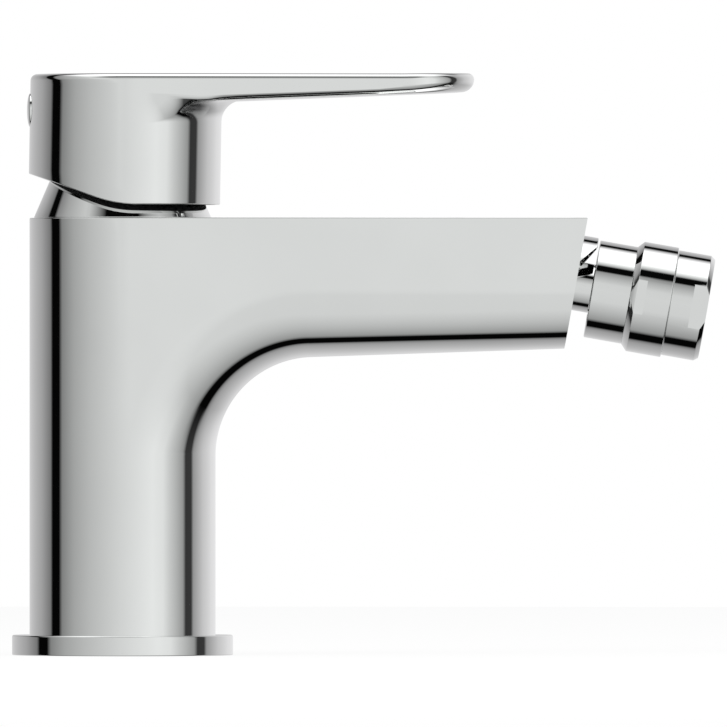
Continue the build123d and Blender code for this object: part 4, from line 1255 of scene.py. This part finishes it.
def flatted(cut_rows, plain_rows, flat, placing, rear_first=False):
    """Turned grid whose first profile is cut by two flats and whose second isn't.

    Where the circle is wider than the flats its columns meet them at the angle whose cosine is the
    flats' half width over the radius.
    """
    order = [plain_rows, cut_rows] if rear_first else [cut_rows, plain_rows]
    profile = np.concatenate(order)
    is_cut = np.concatenate([np.full(len(rows), rows is cut_rows) for rows in order])
    radius = profile[:, 1]
    widest = np.arccos(flat / radius.max())
    narrowest = radians(1.0)
    own = np.arccos(np.clip(flat / radius, -1, 1))
    band = np.where(is_cut, np.maximum(own, narrowest), widest)
    band[-1] = band[0]
    uncut = 1.0  # a half width in metres that no circle here reaches
    limit = np.where(is_cut & (radius > flat), flat, uncut)
    return turned(profile, placing, 144, limit, band)


# Finishes of the pieces inside


class MIXER_OT_inner_finishes(Operator):
    """Finishes of the CAD nodes that stay as they are"""

    bl_idname = "mixer.inner_finishes"
    bl_label = "Inner finishes"

    def execute(self, context):
        finish = context.scene.mixer_finish
        # Colour, roughness and pitch of the tool rings
        metals = {
            "turned_brass": (finish.brass, 0.3, 0.25),
            "machined_steel": (finish.steel, 0.32, 0.2),
        }
        # Colour, roughness, size and depth of the grain, and coat
        moulds = {
            "ground_ceramic": (finish.ceramic, 0.28, 0.35, 0.004, 0.3),
            "white_plastic": (finish.white, 0.42, 0.3, 0.01),
            "grey_plastic": (finish.grey, 0.45, 0.3, 0.005),
            "red_plastic": (finish.red, 0.4, 0.3, 0.01),
            "black_rubber": (finish.rubber, 0.62, 0.5, 0.02),
        }
        made = {name: machined(name, *look) for name, look in metals.items()}
        made.update({name: moulded(name, *look) for name, look in moulds.items()})
        wearing = {
            "turned_brass": ["clamp_nut"],
            "machined_steel": ["stem_pin", "lever_stem", "lever_screw"],
            "ground_ceramic": ["fixed_disc", "moving_disc"],
            "white_plastic": ["cartridge_base", "disc_carrier", "slip_ring", "rear_ball_seat",
                              "front_ball_seat", "flow_regulator"],
            "grey_plastic": ["cartridge_housing", "stem_carriage", "aerator_insert"],
            "red_plastic": ["temperature_limiter"],
            "black_rubber": ["base_gasket", "inlet_seals", "stem_seal", "seat_o_ring",
                             "aerator_gasket"],
        }
        for name, nodes in wearing.items():
            for node in nodes:
                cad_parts[node].material_slots[0].material = made[name]
        return {"FINISHED"}


# Studio


def grey(level):
    """Linear light of a grey as it shows on screen, where 1 is white."""
    light = level / 12.92 if level <= 0.04045 else ((level + 0.055) / 1.055) ** 2.4
    return (light, light, light)


def wall(graph, angle, stops):
    """Brightness along one way round the studio, by the angle from the camera's side in degrees."""
    marks = [(degrees / 180, grey(level)) for degrees, level in stops]
    return graph.out("ShaderNodeValToRGB", {"stops": marks}, {0: angle})


class MIXER_OT_stage(Operator):
    """Floor, soft studio walls, lamps and camera"""

    bl_idname = "mixer.stage"
    bl_label = "Stage"

    # Stops of each wall: angle from the camera's side in degrees, grey on screen
    left_wall = [(0, 0.85), (40, 0.745), (62, 0.66), (80, 0.52), (85, 0.02), (97, 0.02),
                 (101, 0.48), (120, 0.65), (168, 0.83)]
    right_wall = [(0, 0.85), (38, 0.925), (52, 0.9), (62, 0.8), (81.3, 0.6), (85.8, 0.21),
                  (95.6, 0.22), (99.6, 0.6), (120, 0.79), (145, 0.89), (170, 0.92)]
    lower_wall = [(0, 0.85), (26, 0.84), (50, 0.74), (74, 0.6), (78.2, 0.46), (82.3, 0.02),
                  (99.2, 0.02), (104.4, 0.52), (112, 0.63), (140, 0.75), (165, 0.85)]
    ceiling = [(0, 0.85), (16, 0.84), (30, 0.73), (42, 0.59), (45, 0.03), (58, 0.03), (61, 0.68),
               (74, 1.14), (110, 1.14), (122, 0.73), (127, 0.04), (136, 0.04), (139, 0.64),
               (165, 0.81)]
    left_lean = 0.84  # by how much a rising direction counts as one towards the camera there
    lamp_places = {"left_lamp": (-0.7, -0.8, 1.0), "right_lamp": (0.9, -0.6, 0.9)}
    lamp_size = 0.9
    floor_rings = [0.0, 0.05, 0.2, 0.6, 1.2]  # metres
    floor_drop = 0.05 * MM
    floor_white = 0.9  # share of the floor's look that is plain white to the camera

    def execute(self, context):
        sizes = context.scene.mixer_stage
        self.studio(context)
        self.floor(sizes)
        self.lamps(context, sizes)
        self.camera(context, sizes)
        context.scene.view_settings.view_transform = "Standard"
        return {"FINISHED"}

    def studio(self, context):
        """World: bright walls in front and behind, dark gaps between them, a softbox overhead.

        A direction's angle is the arccosine of its share towards the camera's side. How far the
        walls below and overhead take over from those at the left and right goes by the square of
        its share down or up, over the squares across. Overhead the angle is taken in the upright
        plane through the camera instead.
        """
        world = bpy.data.worlds.new("studio")
        world.use_nodes = True
        graph = Graph(world.node_tree)
        x, y, z = graph.parts(graph.out("ShaderNodeTexCoord", {}, {}, "Generated"))
        front = (y * -1.0).at_most(1.0).at_least(-1.0)
        angle = front.joined("ARCCOSINE", front) / pi
        overhead = z.joined("ARCTAN2", z.at_least(0.0), front) / pi
        leaning = (front + z.at_least(0.0) * self.left_lean).at_most(1.0)
        leaning = leaning.joined("ARCCOSINE", leaning) / pi
        left = wall(graph, leaning, self.left_wall)
        right = wall(graph, angle, self.right_wall)
        below = wall(graph, angle, self.lower_wall)
        above = wall(graph, overhead, self.ceiling)
        across = (x * x + z * z).at_least(1e-6)
        up_share = z.at_least(0.0) * z.at_least(0.0) / across
        down_share = z.at_most(0.0) * z.at_most(0.0) / across
        rightward = x > 0.0
        level = right * rightward + left * (1.0 - rightward)
        lower = graph.spread(down_share, 0.02, 0.24)
        upper = graph.spread(up_share, 0.5, 0.85)
        light = level * (1.0 - lower) + below * lower
        light = light * (1.0 - upper) + above * upper
        greenish, violet = (0.985, 1.0, 0.993, 1), (0.995, 0.99, 1.0, 1)
        tint = graph.mix(graph.spread(angle, 0.45, 0.6), greenish, violet)
        shown = graph.out("ShaderNodeVectorMath", {"operation": "SCALE"}, {0: tint, 3: light})
        path = graph.node("ShaderNodeLightPath")
        camera_ray = Wire(graph, path.outputs["Is Camera Ray"])
        backdrop = graph.mix(camera_ray, shown, (1, 1, 1, 1))
        shader = graph.out("ShaderNodeBackground", {}, {"Color": backdrop, "Strength": 1.0})
        graph.node("ShaderNodeOutputWorld", {}, {"Surface": shader})
        context.scene.world = world

    def floor(self, sizes):
        """Round floor: radius times the cosine and sine of the bearing, just under the base."""
        radius = np.array(self.floor_rings)[:, None]
        bearing = np.linspace(0, 2 * pi, 65)[None, :]
        level = 0 * radius * bearing - self.floor_drop
        grid = np.stack([radius * np.cos(bearing), radius * np.sin(bearing), level], 2)
        rows, columns = grid.shape[:2]
        corner = (np.arange(rows - 1)[:, None] * columns + np.arange(columns - 1)).ravel()
        quads = np.stack([corner, corner + columns, corner + columns + 1, corner + 1], 1)
        mesh = bpy.data.meshes.new("floor")
        mesh.from_pydata(grid.reshape(-1, 3).tolist(), [], quads.tolist())

        def build(graph, place):
            mottle = graph.noise(place, scale=6.0, detail=3.0)
            hue = graph.mix(mottle, tone(sizes.floor, 0.99), tone(sizes.floor, 1.01))
            sheet = graph.out("ShaderNodeBsdfPrincipled", {}, {"Base Color": hue, "Roughness": 0.8})
            white = graph.out("ShaderNodeEmission", {}, {"Color": (1, 1, 1, 1), "Strength": 1.0})
            path = graph.node("ShaderNodeLightPath")
            seen = Wire(graph, path.outputs["Is Camera Ray"])
            seen = seen.at_least(Wire(graph, path.outputs["Is Glossy Ray"]))
            seen = seen.at_least(Wire(graph, path.outputs["Is Transmission Ray"]))
            share_white = seen * self.floor_white
            return graph.out("ShaderNodeMixShader", {}, {0: share_white, 1: sheet, 2: white})

        mesh.materials.append(material("pale_floor", build))
        floor = bpy.data.objects.new("floor", mesh)
        bpy.context.scene.collection.objects.link(floor)
        floor.visible_glossy = False

    def lamps(self, context, sizes):
        """Two large soft lamps over the front, aimed at the middle of the piece."""
        middle = (cad_box[0] + cad_box[1]) / 2
        for name, place in self.lamp_places.items():
            data = bpy.data.lights.new(name, "AREA")
            data.shape = "DISK"
            data.size = self.lamp_size
            data.energy = sizes.lamp_power
            lamp = bpy.data.objects.new(name, data)
            lamp.location = place
            lamp.rotation_euler = (middle - lamp.location).to_track_quat("-Z", "Y").to_euler()
            lamp.visible_glossy = False
            context.scene.collection.objects.link(lamp)

    def camera(self, context, sizes):
        """Long lens square to the side: sensor width times the distance over the frame's width."""
        data = bpy.data.cameras.new("side_camera")
        data.lens = data.sensor_width * sizes.camera_distance / sizes.frame_width
        camera = bpy.data.objects.new("side_camera", data)
        camera.location = (sizes.camera_x, -sizes.camera_distance, sizes.camera_height)
        camera.rotation_euler = (pi / 2, 0, 0)
        context.scene.collection.objects.link(camera)
        context.scene.camera = camera


class MIXER_PT_panel(Panel):
    """Lists the pieces in the sidebar"""

    bl_idname = "MIXER_PT_panel"
    bl_label = "Bidet Mixer"
    bl_space_type = "VIEW_3D"
    bl_region_type = "UI"
    bl_category = "Bidet Mixer"

    def draw(self, context):
        layout = self.layout
        for operator in OPERATORS:
            layout.operator(operator.bl_idname)
        for group in GROUPS:
            box = layout.box()
            box.label(text=group.__doc__)
            held = getattr(context.scene, group_name(group))
            for key in group.__annotations__:
                box.prop(held, key)


GROUPS = [MixerBodySizes, MixerLeverSizes, MixerOutletSizes, MixerFinish, MixerStage]
OPERATORS = [
    MIXER_OT_body,
    MIXER_OT_base_ring,
    MIXER_OT_cone_cover,
    MIXER_OT_lever,
    MIXER_OT_index_cap,
    MIXER_OT_neck,
    MIXER_OT_outlet,
    MIXER_OT_inner_finishes,
    MIXER_OT_stage,
]


def group_name(group):
    """Name under which the scene holds a property group."""
    return "mixer_" + group.__name__.removeprefix("Mixer").removesuffix("Sizes").lower()


def register():
    for kind in [*GROUPS, *OPERATORS, MIXER_PT_panel]:
        bpy.utils.register_class(kind)
    for group in GROUPS:
        setattr(bpy.types.Scene, group_name(group), PointerProperty(type=group))


def unregister():
    for group in GROUPS:
        delattr(bpy.types.Scene, group_name(group))
    for kind in reversed([*GROUPS, *OPERATORS, MIXER_PT_panel]):
        bpy.utils.unregister_class(kind)


def main():
    """Builds everything in order."""
    register()
    for operator in OPERATORS:
        group, name = operator.bl_idname.split(".")
        getattr(getattr(bpy.ops, group), name)()


if __name__ == "__main__":
    main()
